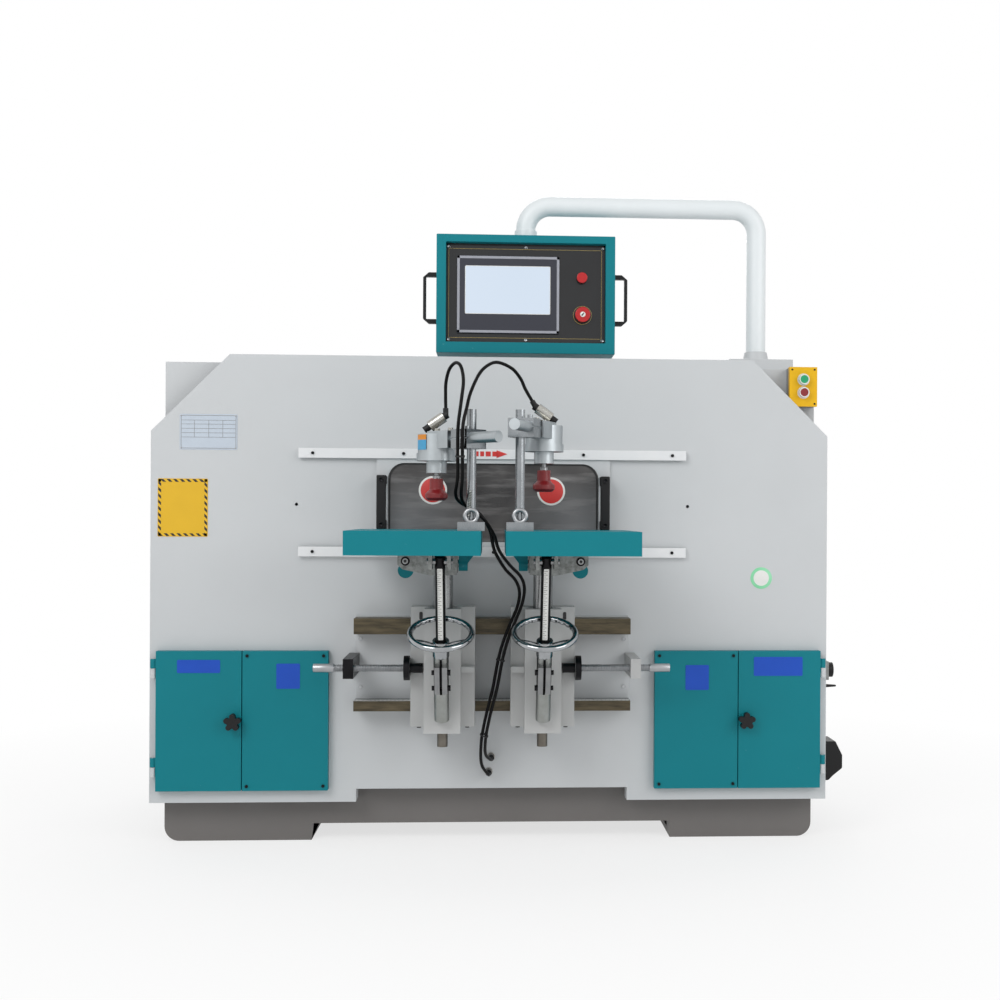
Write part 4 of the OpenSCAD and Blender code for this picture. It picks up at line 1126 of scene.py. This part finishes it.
def tie(name, height, number):
    """A band round both hoses where they pass a height, in millimetres"""
    places = []
    for side in ("left", "right"):
        line = hose_lines[side]
        places.append(min(line[len(line) // 5:], key=lambda p: abs(p.z - height * MM)))
    at = hose_lines["left"].index(places[0])
    way = (hose_lines["left"][at + 1] - hose_lines["left"][at - 1]).normalized()
    apart = places[1] - places[0]
    apart -= apart.dot(way) * way
    band = fresh(bpy.ops.mesh.primitive_cylinder_add, vertices=32, radius=tie_radius * MM,
                 depth=tie_width * MM, end_fill_type="NOTHING", location=(0, 0, 0))
    for vertex in band.data.vertices:
        vertex.co.x += math.copysign(apart.length / 2, vertex.co.x)
    apply_modifier(band, "SOLIDIFY", thickness=tie_thickness * MM, offset=1)
    rounded_rims(band, 0.3, turns=1)
    buckle = block((-3, -9, -2.6), (3, -4, 2.6), 0.6)
    tail = block((-0.7, -16, -1.8), (0.7, -8, 1.8), 0.3)
    band = joined([band, buckle, tail])
    across = apart.normalized()
    turn = Matrix((across, way.cross(across), way)).transposed().to_4x4()
    band.data.transform(Matrix.Translation(places[0] + apart / 2) @ turn)
    first, second, start, end = hose_stretches["left", number]
    if second:
        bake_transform(band, first, second, start=start, end=end)
    return seated(band, name, black_rubber, first)


for name, height, number in (("post_tie", 972, 0), ("upper_run_tie", 486, 2), ("lower_run_tie", 304, 3)):
    tie(name, height, number)

# %% [markdown]
# A length of soft wire is tied to the foot of the left clamp post. It is doubled and twisted, so it is two
# helices half a turn apart, standing against the front of the post.

# %% Twisted wire
wire_foot, wire_turns, turn_steps = Vector((-57, -885.5, 838)), 5, 16
wire_reach, wire_rise, wire_drift, wire_radius = 2.6, 12, 0.05, 1.6
strands = []
for start in (0, math.pi):
    strand = []
    for step in range(wire_turns * turn_steps + 1):
        turn = 2 * math.pi * step / turn_steps + start
        swing = Vector((wire_reach * math.cos(turn) + wire_drift * step, wire_reach * math.sin(turn),
                        wire_rise * step / turn_steps))
        strand.append((wire_foot + swing) * MM)
    strands.append(strand)
wire = tube_along("post_wire", strands, wire_radius * MM, 2)
seated(wire, "post_wire", galvanised, "left_table")

# %% [markdown]
# The photograph hides the back, the sides and the top. A tenoner's cabinet has a screwed access panel
# with louvres behind, a switchgear door on one side, a vent on the other, and lifting rings on top, so
# these are modelled as usual ones.

# %% Access panel behind
housing_back, panel_back = 430, 432.5
louvre_width, louvre_height, louvre_slope = 300, 20, 8.5


def louvre(x, z):
    """A pressed louvre: a block whose upper edge lies nearly flat on the panel"""
    piece = block((x, housing_back + 1, z), (x + louvre_width, housing_back + 13, z + louvre_height), 2.5)
    for vertex in piece.data.vertices:
        rise = (vertex.co.z / MM - z) / louvre_height
        if vertex.co.y > (housing_back + 3) * MM:
            vertex.co.y -= louvre_slope * rise * MM
    return piece


rear_panel = plate((-520, housing_back, 420), (520, panel_back, 1120), 1, 14)
seated(rear_panel, "rear_panel", cabinet_enamel, "cabinet")
louvres = [in_row(louvre(x, 560), 9, (0, 0, 44)) for x in (-410, 110)]
seated(joined(louvres), "rear_louvres", cabinet_enamel, "cabinet")
screw_places = [(x, z) for x in (-505, 0, 505) for z in (436, 1104)] + [(-505, 770), (505, 770)]
panel_screws = [screw((x, panel_back, z), BACK, 5.5, 3) for x, z in screw_places]
seated(joined(panel_screws), "rear_panel_screws", zinc_steel, "cabinet")

# %% Sides and top
housing_side, housing_top = 843, 1232
gear_door = plate((housing_side, -200, 520), (housing_side + 3, 340, 1130), 0, 10)
seated(gear_door, "switchgear_door", cabinet_enamel, "cabinet")
hinges = [disc((housing_side + 5, 346, z), UP, 6, 70, 1, 24) for z in (640, 1010)]
lock = disc((housing_side + 6, -170, 825), RIGHT, 14, 7, 1.5, 32)
key = block((housing_side + 8, -172, 817), (housing_side + 10.5, -168, 833), 0.5)
seated(joined(hinges + [lock, key]), "switchgear_hinges", zinc_steel, "cabinet")
vent = plate((-housing_side - 3, -110, 700), (-housing_side, 110, 920), 0, 8)
seated(vent, "vent_frame", black_plastic, "cabinet")
slats = in_row(block((-housing_side - 5, -90, 718), (-housing_side - 2.5, 90, 726), 1), 13, (0, 0, 14.2))
seated(slats, "vent_slats", grey_plastic, "cabinet")
eyes = []
for x in (-600, 480):
    eyes += [ring((x, 87, housing_top + 8.5), 21, 6.5, 48, 16, upright=False),
             disc((x, 60, housing_top + 5), UP, 20, 10, 2)]
seated(joined(eyes), "lifting_eyes", zinc_steel, "cabinet")
arm_low, arm_high = (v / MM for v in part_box("arm_pedestal"))
bolt_inset, washer_z, nut_z = 14, 1263, 1267
bolts = []
for x in (arm_low.x + bolt_inset, (arm_low.x + arm_high.x) / 2, arm_high.x - bolt_inset):
    y = arm_high.y - bolt_inset
    bolts += [disc((x, y, washer_z), UP, 11, 2, 0.4), disc((x, y, nut_z), UP, 8.5, 7, 1, 6)]
seated(joined(bolts), "pedestal_bolts", zinc_steel, "cabinet")

# %% [markdown]
# The air unit's gauge has a white dial with ticks and a needle, and its drain has a black lever. The
# extraction spigot ends in a rolled bead that keeps the hose clip on.

# %% Gauge, lever and spigot bead
gauge_front, gauge_y, gauge_z = 927.3, -300, 425


def turned_mark(out, half, low, high, edge, angle):
    """A mark on the dial, between two radii, turned by an angle in degrees"""
    mark = block((gauge_front + out[0], -half, low), (gauge_front + out[1], half, high), edge, 1)
    mark.data.transform(Matrix.Translation(Vector((0, gauge_y, gauge_z)) * MM)
                        @ Matrix.Rotation(math.radians(angle), 4, "X"))
    return mark


dial = disc((gauge_front, gauge_y, gauge_z), RIGHT, 17, 0.6, 0.1, 48)
seated(dial, "gauge_dial", white_plastic, "cabinet")
marks = [turned_mark((0.3, 0.6), 0.5, 12, 15.5, 0.05, -135 + 27 * step) for step in range(11)]
needle = turned_mark((0.4, 0.9), 0.6, -3, 12, 0.1, 38)
seated(joined(marks + [needle]), "gauge_marks", ink, "cabinet")
lever_x, lever_y, lever_z, lever_length = 898, -300, 381, 40
narrowing, thinning = 0.6, 0.5
lever = block((lever_x, lever_y - 6, lever_z - 5), (lever_x + lever_length, lever_y + 6, lever_z + 5), 3)
for vertex in lever.data.vertices:
    share = (vertex.co.x / MM - lever_x) / lever_length
    vertex.co.y += (lever_y * MM - vertex.co.y) * narrowing * share
    vertex.co.z += (lever_z * MM - vertex.co.z) * thinning * share
seated(lever, "drain_lever", black_plastic, "cabinet")
seated(ring((0, 494, 300), 61.5, 2.6, 96, 12), "spigot_bead", base_enamel, "cabinet")

# %% [markdown]
# The room is plain: a pale floor that keeps the machine's shadow, a white world, and three soft lamps.


# %% Floor, world and lamps
def plainly_seen(owner):
    """One for rays from the camera and for those that metal and glass send on, else zero"""
    rays = add(owner, "LightPath").outputs
    seen = rays["Is Camera Ray"]
    for kind in ("Is Glossy Ray", "Is Transmission Ray"):
        seen = add(owner, "Math", None, {0: seen, 1: rays[kind]}, operation="MAXIMUM").outputs[0]
    return seen


def pale_floor():
    """White from afar, and near the machine dull enough to keep its shadow"""
    material, shader, place = started("pale_studio_floor")
    shader.inputs["Base Color"].default_value = linear("#F4F4F4")
    shader.inputs["Roughness"].default_value = 0.8
    near, far, glow_near = 0.9, 2.4, 0.7
    away = add(material, "VectorMath", None, {0: place}, operation="LENGTH")
    fade = add(material, "MapRange", {"From Min": near, "From Max": far, "To Min": glow_near},
               {"Value": away.outputs["Value"]})
    glow = add(material, "Emission", {"Strength": 1})
    share = add(material, "Math", None, {0: plainly_seen(material), 1: fade.outputs["Result"]},
                operation="MULTIPLY")
    mixed = add(material, "MixShader", None,
                {0: share.outputs[0], 1: shader.outputs["BSDF"], 2: glow.outputs["Emission"]})
    material.node_tree.links.new(mixed.outputs[0], material.node_tree.nodes["Material Output"].inputs[0])
    return material


floor = finished(fresh(bpy.ops.mesh.primitive_plane_add, size=60, location=(0, 0, 0)), pale_floor())
floor.name = "studio_floor"

world = bpy.data.worlds.new("white_room")
world.use_nodes = True
room = world.node_tree.nodes["Background"]
room.inputs["Color"].default_value = (1, 1, 1, 1)
bright = add(world, "MapRange", {"To Min": 0.55}, {"Value": plainly_seen(world)})
world.node_tree.links.new(bright.outputs["Result"], room.inputs["Strength"])
bpy.context.scene.world = world

lamp_target = Vector((0, 0, 0.7))
for name, place, size, power in (("key_lamp", (-2.6, -4.2, 3.6), 2.4, 95),
                                 ("fill_lamp", (3.4, -3.6, 2.4), 2.6, 55),
                                 ("back_lamp", (0.5, 3.6, 3.4), 2.6, 70)):
    lamp = bpy.data.lights.new(name, "AREA")
    lamp.size, lamp.energy = size, power
    holder = bpy.data.objects.new(name, lamp)
    bpy.context.scene.collection.objects.link(holder)
    aim = lamp_target - Vector(place)
    holder.matrix_world = Matrix.Translation(place) @ aim.to_track_quat("-Z", "Y").to_matrix().to_4x4()
bpy.context.scene.view_settings.view_transform = "Standard"
